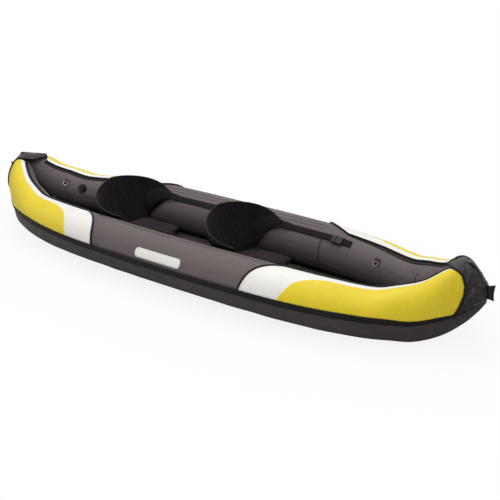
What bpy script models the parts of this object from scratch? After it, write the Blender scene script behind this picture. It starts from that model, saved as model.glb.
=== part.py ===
"""A two-seat inflatable touring kayak, in metres, with +Z up.

The bow points along +X and port is +Y. The origin is on the ground under the middle of the hull.
The kayak is two air tubes in sewn covers, joined below by a tarpaulin hull that holds an air floor,
and closed by a nose cover at each end. Two padded seats are strapped to the tubes.
Angles on a tube count from its crest, outward.
"""
import math

import bmesh
import bpy
from mathutils import Matrix, Vector

# Hull
LENGTH = 3.184
BEAM = 0.89
TUBE_DIAMETER = 0.2615
TUBE_BOTTOM = 0.0135
TUBE_END = 1.395
TUBE_CAP = 0.072
TUBES_APART = 0.0024
SEAM_DROP = 0.00125
COVER_SEAM = -0.57
HULL_FLAT_MARGIN = 0.02
HULL_FULLNESS = 0.58
HULL_BLEND_START = 1.05
HULL_BLEND_LENGTH = 0.25

# Cloth and film, and the clearances between layers
COVER_CLOTH = 0.0012
BLADDER_FILM = 0.0009
BLADDER_CLEARANCE = 0.0045
PANEL_CLOTH = 0.0012
TARPAULIN = 0.0014
LAYER_GAP = 0.0005
PIECE_GAP = 0.0005

# Outer panels of the covers: where their edges leave the seam, and how they sweep up
WHITE_EDGE = 0.478
WHITE_EDGE_LEAN = 0.10
WHITE_EDGE_SWEEP = 0.075
YELLOW_EDGE = 0.70
YELLOW_EDGE_LEAN = 0.10
YELLOW_EDGE_CORNER = 0.17
PIPING_RADIUS = 0.0028
PIPING_ANGLE = -13.0
PIPING_ANGLE_AT_NOSE = -48.0
PIPING_TURN_START = 1.15
PIPING_TURN_LENGTH = 0.22
PIPING_TURN_EASE = 1.4
WHITE_BORDER = 18.0
BORDER_NARROWING = 0.72
BORDER_TURN_START = 0.9
BORDER_TURN_LENGTH = 0.45
PANEL_FOOT = 0.0032
PANEL_SEAM_GAP = 0.0028
PIPING_LIFT = 0.0024
SEAM_BAND_HEIGHT = 0.016
SEAM_BAND_CLOTH = 0.0018
SEAM_BAND_CLEARANCE = 0.002

# Nose covers and stem flaps
NOSE_START = 1.368
NOSE_SIDE = 1.50
NOSE_TIP = 1.557
NOSE_VINYL = 0.0016
NOSE_LIFT = 0.0035
NOSE_GAP = 0.002
NOSE_CROWN = 0.06
STEM_THICKNESS = 0.009
STEM_BOTTOM = 0.240
STEM_TOP = 0.325
STEM_RAKE = 0.015
STEM_ROUNDING = 0.0027

# Air floor
FLOOR_END = 1.15
FLOOR_TAPER = 0.04
FLOOR_TAPER_SIZES = (0.85, 0.3)
FLOOR_BILGE = 0.3
FLOOR_TUCK = 0.008
FLOOR_TOP = 0.068
FLOOR_REST = 0.002
FLOOR_CHANNELS = 5
FLOOR_CREST = 0.44
FLOOR_WELD_DEPTH = 0.010
FLOOR_FILM = 0.0009

# Seats, measured from each seat's place on the centre line
REAR_SEAT = -0.635
SEAT_SPACING = 0.774
PAD_LENGTH = 0.325
PAD_FRONT = 0.305
PAD_SIDE_GAP = 0.0071
PAD_THICKNESS = 0.040
PAD_CROWN = 0.007
PAD_TUCK = 0.012
PAD_END_LIFT = 0.0072
PAD_END_SIZE = 0.95
PAD_LINES = (-1.0, -0.93, -0.66, -0.33, 0.0, 0.33, 0.66, 0.93, 1.0)
PAD_TAB = 0.008
PAD_TAB_ROOT = 0.012
BACK_SET = -0.041
BACK_DEPTH = 0.156
BACK_HALF_WIDTH = 0.254
BACK_TOP = 0.379
BACK_DROP = 0.121
BACK_WRAP = 123.6
BACK_LEAN = 0.178
BACK_PADDING = 0.013
BACK_BINDING = 0.0045
BACK_BULGE = 0.012
BACK_TUBE_GAP = 0.0115
BACK_PAD_GAP = 0.0045
WING_REACH = 0.176
WING_LIFT = 0.018
WING_GAP = 0.002
STRAP_WIDTH = 0.036
STRAP_WEBBING = 0.0022
STRAP_ANGLE = -40.0
STRAP_LIFT = 0.0036
STRAP_DROP = 0.10
STRAP_RISE = 0.03
BUCKLE_AHEAD = 0.545
BUCKLE_LIFT = 0.0035
BUCKLE_WIDTH = 0.046
BUCKLE_THICKNESS = 0.0125
BUCKLE_WALL = 0.0022
BUCKLE_ROUNDING = 0.0022
SOCKET_LENGTH = 0.040
SOCKET_WINDOW = 0.014
PLUG_LENGTH = 0.026
PRONG_LENGTH = 0.031
PRONG_WIDTH = 0.008
PRONG_ROOT = 0.004
PRONG_CLEARANCE = 0.0006
ANCHOR_LENGTH = 0.050

# Where a backrest's lower edge goes: share across it, then ahead, out and up from the seat's place
BACK_FOOT = (
    (0.00, 0.005, 0.000, 0.0000),
    (0.50, 0.035, 0.158, 0.0015),
    (0.65, 0.056, 0.168, 0.0240),
    (0.82, 0.115, 0.185, 0.0800),
)

# Valves
VALVE_PLACE = -1.09
VALVE_BAY = 0.07
VALVE_ANGLE = -60.0
VALVE_SEAT = 0.0014
VALVE_FLANGE = 0.0245
VALVE_FLANGE_THICKNESS = 0.002
VALVE_RIM = 0.0158
VALVE_RIM_HEIGHT = 0.0105
VALVE_NECK = 0.0148
VALVE_DEPTH = 0.0125
VALVE_BORE = 0.011
VALVE_WINDOW = 0.003
CAP_RADIUS = 0.0205
CAP_HEIGHT = 0.013
CAP_TOP = 0.0045
CAP_RIBS = 12
CAP_RIB_DEPTH = 0.0012
COLLAR_RADIUS = 0.0235
COLLAR_THICKNESS = 0.0032
FLOOR_VALVE_PLACE = -0.13
FLOOR_VALVE_SCALE = 0.62

# Rings
RING_WIDTH = 0.030
RING_DEPTH = 0.021
RING_WIRE = 0.0019
RING_PLAY = 0.0006
RING_ANGLE = -57.0
BOW_RING_PLACE = 0.93
STERN_RING_PLACE = -1.197
RING_PATCH = 0.020
RING_PATCH_CLOTH = 0.0015
RING_LOOP = 0.010
RING_LOOP_WALL = 0.0016
RING_LOOP_WELD = 0.0003
PAD_RING_RADIUS = 0.013
PAD_RING_SIDE = 0.06

# Table of offsets, by rows. A row has its station as a share of the half length, the outer
# half-breadth as a share of the greatest, and the tube's width as a share of its diameter. Then, in
# metres: the rise of the tube's bottom, its crest and the keel, the seam's inset from the outer
# half-breadth, and the seam's rise.
OFFSETS = (
    (0.0000, 1.000, 1.000, 0.000, 0.000, 0.000, 0.000, 0.000),
    (0.3750, 0.971, 0.986, 0.002, 0.000, 0.000, 0.000, 0.000),
    (0.5650, 0.881, 0.954, 0.009, -0.010, 0.000, 0.000, 0.000),
    (0.6910, 0.762, 0.916, 0.025, -0.018, 0.002, 0.001, -0.002),
    (0.7540, 0.679, 0.893, 0.043, 0.007, 0.006, 0.004, 0.000),
    (0.8170, 0.578, 0.862, 0.077, 0.070, 0.016, 0.017, 0.008),
    (0.8800, 0.461, 0.780, 0.137, 0.130, 0.050, 0.034, 0.018),
    (0.9300, 0.365, 0.620, 0.190, 0.130, 0.112, 0.058, 0.046),
    (0.9620, 0.212, 0.355, 0.225, 0.075, 0.178, 0.050, 0.082),
    (0.9790, 0.022, 0.030, 0.248, 0.024, 0.227, 0.004, 0.106),
)
HALF_LENGTH = LENGTH / 2
STATIONS = (0.0, 0.42, 0.78, -VALVE_PLACE - VALVE_BAY, -VALVE_PLACE + VALVE_BAY, 1.245, 1.32,
            TUBE_END)
END_STATIONS = (1.46, 1.522)
LINES = (*STATIONS, *END_STATIONS)
TIP_STATIONS = (1.542, NOSE_TIP)
EDGE_HEIGHTS = (0.0, 0.2, 0.4, 0.6, 0.78, 0.92, 1.0)
TOP_SHARES = (0.0, 0.2, 0.42, 0.65, 0.85, 1.0)
PATCH_DEPTH = 0.026
CUT_REACH = 0.02
TUBE_SIDES = 16
BLADDER_SIDES = 12
TUBE_STEP = 360 / TUBE_SIDES
BLADDER_INSET = COVER_CLOTH + BLADDER_CLEARANCE
PORT = 1
STARBOARD = -1
SIDES = (("port", PORT), ("starboard", STARBOARD))
ENDS = (("bow", 1), ("stern", -1))
SEATS = (("rear", REAR_SEAT), ("front", REAR_SEAT + SEAT_SPACING))
PAD_BASE = FLOOR_TOP + PIECE_GAP
PAD_TOP = PAD_BASE + PAD_THICKNESS + PAD_CROWN
BACK_HINGE = PAD_TOP + BACK_PAD_GAP

LOOKS = {
    "grey_cloth": ((0.13, 0.11, 0.11, 1.0), 0.75, 0.0),
    "yellow_cloth": ((0.72, 0.51, 0.02, 1.0), 0.42, 0.0),
    "white_cloth": ((0.80, 0.78, 0.75, 1.0), 0.45, 0.0),
    "tarpaulin": ((0.06, 0.05, 0.05, 1.0), 0.5, 0.0),
    "black_vinyl": ((0.02, 0.018, 0.02, 1.0), 0.35, 0.0),
    "bladder_film": ((0.30, 0.32, 0.34, 1.0), 0.3, 0.0),
    "floor_film": ((0.10, 0.09, 0.09, 1.0), 0.45, 0.0),
    "seat_cloth": ((0.022, 0.02, 0.022, 1.0), 0.9, 0.0),
    "webbing": ((0.015, 0.013, 0.015, 1.0), 0.85, 0.0),
    "black_plastic": ((0.012, 0.012, 0.013, 1.0), 0.35, 0.0),
    "ring_steel": ((0.55, 0.55, 0.56, 1.0), 0.3, 1.0),
}


# Scene

def clear_scene():
    for obj in list(bpy.data.objects):
        bpy.data.objects.remove(obj, do_unlink=True)


def make_collection(name):
    collection = bpy.data.collections.new(name)
    bpy.context.scene.collection.children.link(collection)
    return collection


def make_material(name):
    colour, roughness, metallic = LOOKS[name]
    material = bpy.data.materials.new(name)
    material.diffuse_color = colour
    material.use_nodes = True
    shader = material.node_tree.nodes["Principled BSDF"]
    shader.inputs["Base Color"].default_value = colour
    shader.inputs["Roughness"].default_value = roughness
    shader.inputs["Metallic"].default_value = metallic
    return material


clear_scene()
KAYAK = make_collection("inflatable_kayak")
CUTTERS = make_collection("cutters")
MATERIALS = {name: make_material(name) for name in LOOKS}


# Numbers and frames

def clamp(value, low=0.0, high=1.0):
    return max(low, min(high, value))


def lerp(a, b, t):
    return a + (b - a) * t


def ease(t):
    t = clamp(t)
    return t * t * (3 - 2 * t)


def corner(t, start):
    """Quarter-round that leaves zero at start and reaches one at t = 1."""
    t = clamp((t - start) / (1 - start))
    return 1 - math.sqrt(1 - t * t)


def both_ways(half):
    """Stations from stern to bow, from those of one half."""
    return [-x for x in reversed(half[1:])] + list(half)


def to_side(point, side):
    return Vector((point.x, side * point.y, point.z))


def frame_at(origin, along, normal):
    """Frame with X along a direction and Z close to a normal."""
    x_axis = along.normalized()
    y_axis = normal.cross(x_axis).normalized()
    rotation = Matrix((x_axis, y_axis, x_axis.cross(y_axis))).transposed()
    return Matrix.Translation(origin) @ rotation.to_4x4()


def moved(frame, x=0.0, y=0.0, z=0.0):
    return frame @ Matrix.Translation((x, y, z))


# Meshes and modifiers

def add_object(name, mesh, material, matrix=None):
    obj = bpy.data.objects.new(name, mesh)
    KAYAK.objects.link(obj)
    mesh.materials.append(MATERIALS[material])
    if matrix is not None:
        obj.matrix_world = matrix
    return obj


def add_cutter(name, mesh, matrix=None):
    obj = bpy.data.objects.new(name, mesh)
    CUTTERS.objects.link(obj)
    obj.hide_render = True
    obj.display_type = "WIRE"
    if matrix is not None:
        obj.matrix_world = matrix
    return obj


def finish_mesh(name, bm):
    bmesh.ops.recalc_face_normals(bm, faces=bm.faces)
    mesh = bpy.data.meshes.new(name)
    bm.to_mesh(mesh)
    bm.free()
    mesh.shade_smooth()
    mesh.set_sharp_from_angle(angle=math.radians(35))
    return mesh


def loft(name, rows, ring=False, lift=0.0, mirrored=False):
    """Skin rows of as many points each: an open sheet, or a closed body of rings.

    Each bay is split along the same diagonal, so that layers over one another stay parallel, or
    along its mirror image in the second half of a mirrored row.
    A lift moves the whole surface out along its normals, by the same distance everywhere.
    """
    bm = bmesh.new()
    verts = [[bm.verts.new(point) for point in row] for row in rows]
    across = len(rows[0])
    columns = across if ring else across - 1
    for lower, upper in zip(verts, verts[1:]):
        for i in range(columns):
            j = (i + 1) % across
            if mirrored and i >= columns // 2:
                bm.faces.new((lower[i], lower[j], upper[i]))
                bm.faces.new((lower[j], upper[j], upper[i]))
            else:
                bm.faces.new((lower[i], lower[j], upper[j]))
                bm.faces.new((lower[i], upper[j], upper[i]))
    if ring:
        bm.faces.new(verts[0])
        bm.faces.new(verts[-1])
    if lift:
        bmesh.ops.recalc_face_normals(bm, faces=bm.faces)
        bm.normal_update()
        places = [v.co + v.normal * (lift * v.calc_shell_factor()) for v in bm.verts]
        for vert, place in zip(bm.verts, places):
            vert.co = place
    return finish_mesh(name, bm)


def thicken(obj, thickness, offset, even=True):
    modifier = obj.modifiers.new("Thickness", "SOLIDIFY")
    modifier.thickness = thickness
    modifier.offset = offset
    modifier.use_even_offset = even
    return modifier


def combine(obj, tool, operation="DIFFERENCE"):
    modifier = obj.modifiers.new(operation.title(), "BOOLEAN")
    modifier.operation = operation
    modifier.solver = "EXACT"
    modifier.object = tool
    return modifier


def round_edges(obj, width, segments=1, angle=40.0):
    modifier = obj.modifiers.new("Rounded edges", "BEVEL")
    modifier.width = width
    modifier.segments = segments
    modifier.limit_method = "ANGLE"
    modifier.angle_limit = math.radians(angle)
    return modifier


def box_mesh(name, size, centre=(0, 0, 0)):
    bm = bmesh.new()
    matrix = Matrix.Translation(centre) @ Matrix.Diagonal((*size, 1.0))
    bmesh.ops.create_cube(bm, size=1.0, matrix=matrix)
    return finish_mesh(name, bm)


def cylinder_mesh(name, radius, low, high, segments=24, rib_depth=0.0):
    """A cylinder along Z. With a rib depth, every other edge is drawn in by it."""
    bm = bmesh.new()
    made = bmesh.ops.create_cone(
        bm, cap_ends=True, segments=segments, radius1=radius, radius2=radius,
        depth=high - low, matrix=Matrix.Translation((0, 0, (low + high) / 2)))
    for vert in made["verts"]:
        edge = round(math.atan2(vert.co.y, vert.co.x) / math.tau * segments)
        if edge % 2:
            vert.co.xy = vert.co.xy * (1 - rib_depth / radius)
    return finish_mesh(name, bm)


def add_turned(name, profile, material, matrix, steps=20):
    """Turn a closed profile of (radius, height) points, outer side downward, about local Z."""
    mesh = bpy.data.meshes.new(name)
    points = [(radius, 0.0, height) for radius, height in profile]
    edges = [(i, (i + 1) % len(points)) for i in range(len(points))]
    mesh.from_pydata(points, edges, [])
    obj = add_object(name, mesh, material, matrix)
    screw = obj.modifiers.new("Turn", "SCREW")
    screw.axis = "Z"
    screw.angle = math.tau
    screw.steps = steps
    screw.render_steps = steps
    screw.use_merge_vertices = True
    screw.merge_threshold = 0.00001
    return obj


def bar_mesh(name, points, radius, closed=False, resolution=1):
    """A round bar through the points, with its caps welded on."""
    data = bpy.data.curves.new(name, "CURVE")
    data.dimensions = "3D"
    data.bevel_depth = radius
    data.bevel_resolution = resolution
    data.use_fill_caps = not closed
    spline = data.splines.new("POLY")
    spline.points.add(len(points) - 1)
    for target, point in zip(spline.points, points):
        target.co = (*point, 1.0)
    spline.use_cyclic_u = closed
    curve = bpy.data.objects.new(name + "_curve", data)
    KAYAK.objects.link(curve)
    bpy.context.view_layer.update()
    evaluated = curve.evaluated_get(bpy.context.evaluated_depsgraph_get())
    welded = bmesh.new()
    welded.from_mesh(bpy.data.meshes.new_from_object(evaluated))
    bpy.data.objects.remove(curve, do_unlink=True)
    bmesh.ops.remove_doubles(welded, verts=welded.verts, dist=0.00001)
    return finish_mesh(name, welded)


# Lines of the hull

def offsets_at(x):
    """Read the table of offsets at a station, along a smooth curve through its rows."""
    last = len(OFFSETS) - 1
    share = clamp(abs(x) / HALF_LENGTH, 0.0, OFFSETS[last][0])
    i = next(k for k in range(last) if share <= OFFSETS[k + 1][0])
    low, high = OFFSETS[i], OFFSETS[i + 1]
    before = OFFSETS[i - 1] if i else (-high[0], *high[1:])
    after = OFFSETS[min(i + 2, last)]
    span = high[0] - low[0]
    t = (share - low[0]) / span
    values = []
    for column in range(1, len(low)):
        rise_low = (high[column] - before[column]) / (high[0] - before[0])
        rise_high = (after[column] - low[column]) / (after[0] - low[0])
        values.append(
            low[column] * (1 + 2 * t) * (1 - t) ** 2 + rise_low * span * t * (1 - t) ** 2
            + high[column] * t * t * (3 - 2 * t) - rise_high * span * t * t * (1 - t))
    return values


class Station:
    """Cross section of the hull's lines at one place, for its port half."""

    def __init__(self, x):
        breadth, width, bottom, crest, keel, inset, seam = offsets_at(x)
        self.x = x
        self.outer = BEAM / 2 * breadth
        self.inner = max(self.outer - TUBE_DIAMETER * width, TUBES_APART / 2)
        self.bottom = TUBE_BOTTOM + bottom
        self.top = TUBE_BOTTOM + TUBE_DIAMETER + crest
        self.keel = max(keel, 0.0)
        self.y = (self.outer + self.inner) / 2
        self.z = (self.top + self.bottom) / 2
        self.half_width = (self.outer - self.inner) / 2
        self.half_height = (self.top - self.bottom) / 2
        self.seam_y = self.outer - inset
        self.seam_z = TUBE_BOTTOM + TUBE_DIAMETER / 2 - SEAM_DROP + seam
        self.seam_angle = 90 + math.degrees(math.atan2(
            (self.z - self.seam_z) / self.half_height, (self.seam_y - self.y) / self.half_width))
        self.seam_angle = max(self.seam_angle, 91)

    def on_tube(self, angle, inset=0.0):
        """Point of the tube's own outline."""
        turn = math.radians(angle)
        return Vector((self.x, self.y + (self.half_width - inset) * math.sin(turn),
                       self.z + (self.half_height - inset) * math.cos(turn)))

    def on_cover(self, angle, inset=0.0):
        """Point of the cover, which leaves the tube low down on the outside to reach the seam."""
        angle = (angle + 180) % 360 - 180
        if angle < -150:
            angle += 360
        point = self.on_tube(angle, inset)
        if angle > 90:
            reach = self.seam_angle - 90
            past = (210 - angle) / (210 - self.seam_angle)
            pull = clamp((angle - 90) / reach) ** 2 if angle < self.seam_angle else ease(past)
            end = self.on_tube(self.seam_angle)
            point.y += (self.seam_y - end.y) * pull
            point.z += (self.seam_z - end.z) * pull
        point.y = max(point.y, TUBES_APART / 2)
        return point

    def angle_for_height(self, height):
        """How far a height in metres reaches round the tube, in degrees."""
        return math.degrees(height / self.half_height)

    def clear_of_tube(self, point, gap):
        """Push a point away from the tube's axis until it is a gap from the skin."""
        side = PORT if point.y > 0 else STARBOARD
        across = (abs(point.y) - self.y) / (self.half_width + gap)
        up = (point.z - self.z) / (self.half_height + gap)
        distance = math.hypot(across, up)
        if distance >= 1:
            return point
        return Vector((point.x, side * (self.y + (abs(point.y) - self.y) / distance),
                       self.z + (point.z - self.z) / distance))


def on_facets(side, x, angle):
    """Point on the cover's own flat facets, between its rings and its sides."""
    lines = both_ways(LINES)
    i = next(k for k in range(len(lines) - 1) if x <= lines[k + 1])
    share = (x - lines[i]) / (lines[i + 1] - lines[i])
    first = math.floor(angle / TUBE_STEP)
    turn = angle / TUBE_STEP - first
    near, far = [[Station(place).on_cover((first + k) * TUBE_STEP) for k in (0, 1)]
                 for place in (lines[i], lines[i + 1])]
    if turn > share:
        point = near[0] + (near[1] - near[0]) * turn + (far[1] - near[1]) * share
    else:
        point = near[0] + (far[0] - near[0]) * share + (far[1] - far[0]) * turn
    return to_side(point, side)


def facet_frame(side, x, angle, lift=0.0, span=0.006):
    """Frame over the cover, at a lift from it: X along the tube toward the bow, Z out of it."""
    origin = on_facets(side, x, angle)
    along = on_facets(side, x + span, angle) - on_facets(side, x - span, angle)
    around = on_facets(side, x, angle + 2) - on_facets(side, x, angle - 2)
    normal = along.cross(around)
    if normal.dot(origin - Vector((x, side * Station(x).y, Station(x).z))) < 0:
        normal = -normal
    return moved(frame_at(origin, along, normal), z=lift)


# Side tubes

def cover_rings(side):
    return [[to_side(Station(x).on_cover(i * TUBE_STEP), side) for i in range(TUBE_SIDES)]
            for x in both_ways(LINES)]


def bladder_rings(side):
    """Rings of an air bladder, which is rounded off inside the nose covers."""
    turn = VALVE_ANGLE - 180 / BLADDER_SIDES
    half = [(x, 1.0) for x in STATIONS]
    for degrees in (42, 76):
        reach = (TUBE_CAP - BLADDER_INSET) * math.sin(math.radians(degrees))
        half.append((TUBE_END + reach, math.cos(math.radians(degrees))))
    rings = []
    for x, size in [(-x, size) for x, size in reversed(half[1:])] + half:
        station = Station(x)
        middle = Vector((x, station.y, station.z))
        ring = []
        for i in range(BLADDER_SIDES):
            point = station.on_tube(turn + 360 * i / BLADDER_SIDES, BLADDER_INSET)
            ring.append(to_side(middle + (point - middle) * size, side))
        rings.append(ring)
    return rings


def valve_frame(side):
    """Frame on the flat of the bladder's film that carries the valve."""
    half = 180 / BLADDER_SIDES
    near, far = [[to_side(Station(x).on_tube(VALVE_ANGLE + turn, BLADDER_INSET), side)
                  for turn in (-half, half)]
                 for x in (VALVE_PLACE - VALVE_BAY, VALVE_PLACE + VALVE_BAY)]
    along = far[0] + far[1] - near[0] - near[1]
    around = near[1] + far[1] - near[0] - far[0]
    normal = along.cross(around) * side
    return frame_at((near[0] + far[1]) / 2, along, normal)


def add_cover(name, side):
    cover = add_object(name, loft("cover", cover_rings(side), True), "grey_cloth")
    thicken(cover, COVER_CLOTH, -1)
    return cover


def stern_block(name, stop):
    """A block round all of the hull that lies sternward of a station."""
    block = box_mesh("block", (LENGTH, BEAM * 2, BEAM * 2), (stop - LENGTH / 2, 0, 0))
    return add_cutter(name, block)


def add_side_tubes():
    """Covers, each sewn from two lengths that meet at a seam, and the bladders inside them."""
    for label, side in SIDES:
        frame = valve_frame(side)
        window = add_cutter(f"{label}_cover_window",
                            cylinder_mesh("window", VALVE_FLANGE + VALVE_WINDOW, -CUT_REACH,
                                          CUT_REACH), frame)
        hole = add_cutter(f"{label}_film_hole",
                          cylinder_mesh("hole", VALVE_NECK + PIECE_GAP, -CUT_REACH, CUT_REACH),
                          frame)
        cover = add_cover(f"{label}_tube_cover", side)
        combine(cover, stern_block(f"{label}_cover_end", COVER_SEAM + PIECE_GAP / 2))
        stern_cover = add_cover(f"{label}_stern_cover", side)
        combine(stern_cover, stern_block(f"{label}_stern_part", COVER_SEAM - PIECE_GAP / 2),
                "INTERSECT")
        combine(stern_cover, window)
        bladder = add_object(f"{label}_air_bladder", loft("bladder", bladder_rings(side), True),
                             "bladder_film")
        thicken(bladder, BLADDER_FILM, -1)
        combine(bladder, hole)


# Pieces sewn on the covers. Each is the part of a layer over the cover that a patch outlines.

def patch_cutter(name, side, rows):
    """A thick curved block over the cover, from rows of (station, angle) pairs."""
    surface = [[to_side(Station(x).on_cover(angle), side) for x, angle in row] for row in rows]
    cutter = add_cutter(name, loft(name, surface))
    thicken(cutter, PATCH_DEPTH, 0.0, False)
    return cutter


def add_sewn_piece(name, material, side, rows, lift, thickness):
    obj = add_object(name, loft(name, cover_rings(side), True, lift), material)
    thicken(obj, thickness, 1)
    combine(obj, patch_cutter(name + "_outline", side, rows), "INTERSECT")
    return obj


def piping_angle(x):
    share = clamp((abs(x) - PIPING_TURN_START) / PIPING_TURN_LENGTH)
    return lerp(PIPING_ANGLE, PIPING_ANGLE_AT_NOSE, share ** PIPING_TURN_EASE)


def yellow_top_angle(x):
    share = ease((x - BORDER_TURN_START) / BORDER_TURN_LENGTH)
    return piping_angle(x) + WHITE_BORDER * (1 - BORDER_NARROWING * share)


def foot_angle(x):
    """Angle of a panel's lower edge, under the seam's band."""
    station = Station(x)
    return station.seam_angle - station.angle_for_height(PANEL_FOOT)


def nose_edge(angle):
    """Station where the outer panels end and the nose cover begins, by angle."""
    share = (angle - PIPING_ANGLE_AT_NOSE) / (90 - PIPING_ANGLE_AT_NOSE)
    return lerp(NOSE_START, NOSE_SIDE, math.sin(math.pi / 2 * clamp(share, 0.0, 1.4)))


def white_edge(height):
    return WHITE_EDGE + WHITE_EDGE_LEAN * height + WHITE_EDGE_SWEEP * height ** 5


def yellow_edge(height):
    return YELLOW_EDGE + YELLOW_EDGE_LEAN * height + YELLOW_EDGE_CORNER * corner(height, 0.55)


def panel_rows(end, edge, top_angle, grow=0.0, overrun=0.0):
    """Rows over an end panel, from its edge to the nose cover's. Each goes up from the seam.

    The panel's own edge and top can grow by a distance, and its other two edges overrun by a share.
    """
    rows = []
    top = top_angle(NOSE_START)
    shares = (*TOP_SHARES, 1.0 + overrun) if overrun else TOP_SHARES
    heights = (-overrun, *EDGE_HEIGHTS) if overrun else EDGE_HEIGHTS
    for share in shares:
        row = []
        for height in heights:
            stop = nose_edge(lerp(foot_angle(NOSE_SIDE), top, height)) - NOSE_GAP
            x = lerp(edge(height) - grow, stop, share)
            around = Station(x).angle_for_height(grow)
            row.append((end * x, lerp(foot_angle(x), top_angle(x) - around, height)))
        rows.append(row)
    return rows


def piping_route():
    """The piping's stations and angles: up the white panel's edge, then along its top."""
    corners = []
    for height in EDGE_HEIGHTS:
        x = white_edge(height)
        corners.append((x, lerp(foot_angle(x), piping_angle(x), height)))
    start = corners[-1][0]
    stop = nose_edge(piping_angle(NOSE_START)) - NOSE_GAP
    for share in TOP_SHARES[1:]:
        x = lerp(start, stop, share)
        corners.append((x, piping_angle(x)))
    route = []
    for k, ((x0, a0), (x1, a1)) in enumerate(zip(corners, corners[1:])):
        parts = 4 if k < 2 else 2
        route += [(lerp(x0, x1, i / parts), lerp(a0, a1, i / parts)) for i in range(parts)]
    return route[2:] + corners[-1:]


def add_end_panels():
    for end_label, end in ENDS:
        for label, side in SIDES:
            name = f"{label}_{end_label}"
            white = add_sewn_piece(f"{name}_white_panel", "white_cloth", side,
                                   panel_rows(end, white_edge, piping_angle), LAYER_GAP,
                                   PANEL_CLOTH)
            window = patch_cutter(f"{name}_yellow_window", side,
                                  panel_rows(end, yellow_edge, yellow_top_angle, PANEL_SEAM_GAP,
                                             0.05))
            combine(white, window)
            add_sewn_piece(f"{name}_yellow_panel", "yellow_cloth", side,
                           panel_rows(end, yellow_edge, yellow_top_angle), LAYER_GAP, PANEL_CLOTH)
            lift = LAYER_GAP + PANEL_CLOTH + PIPING_RADIUS + PIPING_LIFT
            cord = [facet_frame(side, end * x, angle, lift).translation
                    for x, angle in piping_route()]
            mesh = bar_mesh(f"{name}_piping", cord, PIPING_RADIUS)
            add_object(f"{name}_piping", mesh, "black_vinyl")


def add_seam_bands():
    """Binding over the seam between cover and hull, above the seam's own line."""
    reach = nose_edge(foot_angle(NOSE_SIDE)) - NOSE_GAP * 2
    places = [x for x in LINES if x < reach] + [reach]
    lift = LAYER_GAP * 2 + max(PANEL_CLOTH, TARPAULIN)
    for label, side in SIDES:
        rows = []
        for x in both_ways(places):
            foot = Station(x).seam_angle
            rows.append([(x, foot - Station(x).angle_for_height(SEAM_BAND_HEIGHT)), (x, foot)])
        add_sewn_piece(f"{label}_seam_binding", "black_vinyl", side, rows, lift, SEAM_BAND_CLOTH)


# Bottom of the hull

def cover_breadth(station, z):
    """Outer half-breadth of the cover at a height below the seam, or nothing under the tube."""
    points = [station.on_cover(station.seam_angle + 4 * i) for i in range(20)]
    for above, below in zip(points, points[1:]):
        if below.z <= z <= above.z:
            return lerp(below.y, above.y, (z - below.z) / (above.z - below.z))
    return 0.0


def hull_row(x):
    """Half of the tarpaulin's section, from the seam down to the keel."""
    station = Station(x)
    lift = LAYER_GAP + TARPAULIN
    start = station.seam_angle + station.angle_for_height(SEAM_BAND_CLEARANCE)
    snug = [station.on_cover(start, -lift)]
    snug += [station.on_cover(max(angle, start + 4), -lift) for angle in (112.5, 135, 157.5, 180)]
    flat = station.inner + HULL_FLAT_MARGIN
    snug += [Vector((x, flat, station.keel)), Vector((x, flat / 2, station.keel)),
             Vector((x, 0, station.keel))]
    full = []
    top = snug[0]
    for i in range(8):
        turn = math.pi / 2 * i / 7
        z = lerp(top.z, station.keel, math.sin(turn) ** HULL_FULLNESS)
        y = max(top.y * math.cos(turn) ** HULL_FULLNESS, cover_breadth(station, z) + lift * 2)
        full.append(Vector((x, y if i < 7 else 0.0, z)))
    share = ease((abs(x) - HULL_BLEND_START) / HULL_BLEND_LENGTH)
    return [a.lerp(b, share) for a, b in zip(snug, full)]


def add_hull_bottom():
    rows = []
    for x in both_ways((*LINES, *TIP_STATIONS)):
        row = hull_row(x)
        rows.append(row + [to_side(point, STARBOARD) for point in reversed(row[:-1])])
    hull = add_object("hull_bottom", loft("hull", rows, mirrored=True), "tarpaulin")
    lowest = min(hull.data.polygons, key=lambda face: face.center.z)
    thicken(hull, TARPAULIN, -1 if lowest.normal.z < 0 else 1)


# Ends

def add_nose_covers():
    """A taut cover over each end, from seam to seam, with its rear edge swept to the sides."""
    columns = 9
    for label, end in ENDS:
        rows = []
        for share in (0.0, 0.3, 0.55, 0.8, 1.0):
            half = []
            for i in range(columns):
                part = 1 - i / (columns - 1)
                edge = nose_edge(foot_angle(NOSE_SIDE) * part)
                x = lerp(edge, NOSE_TIP, share)
                half.append(Station(x).on_cover(foot_angle(x) * part))
            x = lerp(NOSE_START, NOSE_TIP, share)
            crest = Station(x)
            crown = Vector((x, 0.0, crest.top + NOSE_CROWN * crest.y))
            row = half + [crown] + [to_side(point, STARBOARD) for point in reversed(half)]
            rows.append([Vector((end * point.x, point.y, point.z)) for point in row])
        sheet = loft("nose", rows, lift=NOSE_LIFT, mirrored=True)
        thicken(add_object(f"{label}_nose_cover", sheet, "black_vinyl"), NOSE_VINYL, 1)


def add_stem_flaps():
    for label, end in ENDS:
        root = NOSE_TIP + NOSE_LIFT + NOSE_VINYL + PIECE_GAP
        middle = (STEM_BOTTOM + STEM_TOP) / 2
        outline = [(root, STEM_BOTTOM + STEM_RAKE / 2), (HALF_LENGTH - STEM_RAKE, STEM_BOTTOM),
                   (HALF_LENGTH, middle + STEM_RAKE), (HALF_LENGTH, STEM_TOP),
                   (root, STEM_TOP - STEM_RAKE)]
        half = STEM_THICKNESS / 2
        rows = [[Vector((end * x, y, z)) for x, z in outline] for y in (-half, half)]
        flap = add_object(f"{label}_stem_flap", loft("flap", rows, True), "black_vinyl")
        round_edges(flap, STEM_ROUNDING)


# Air floor

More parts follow.
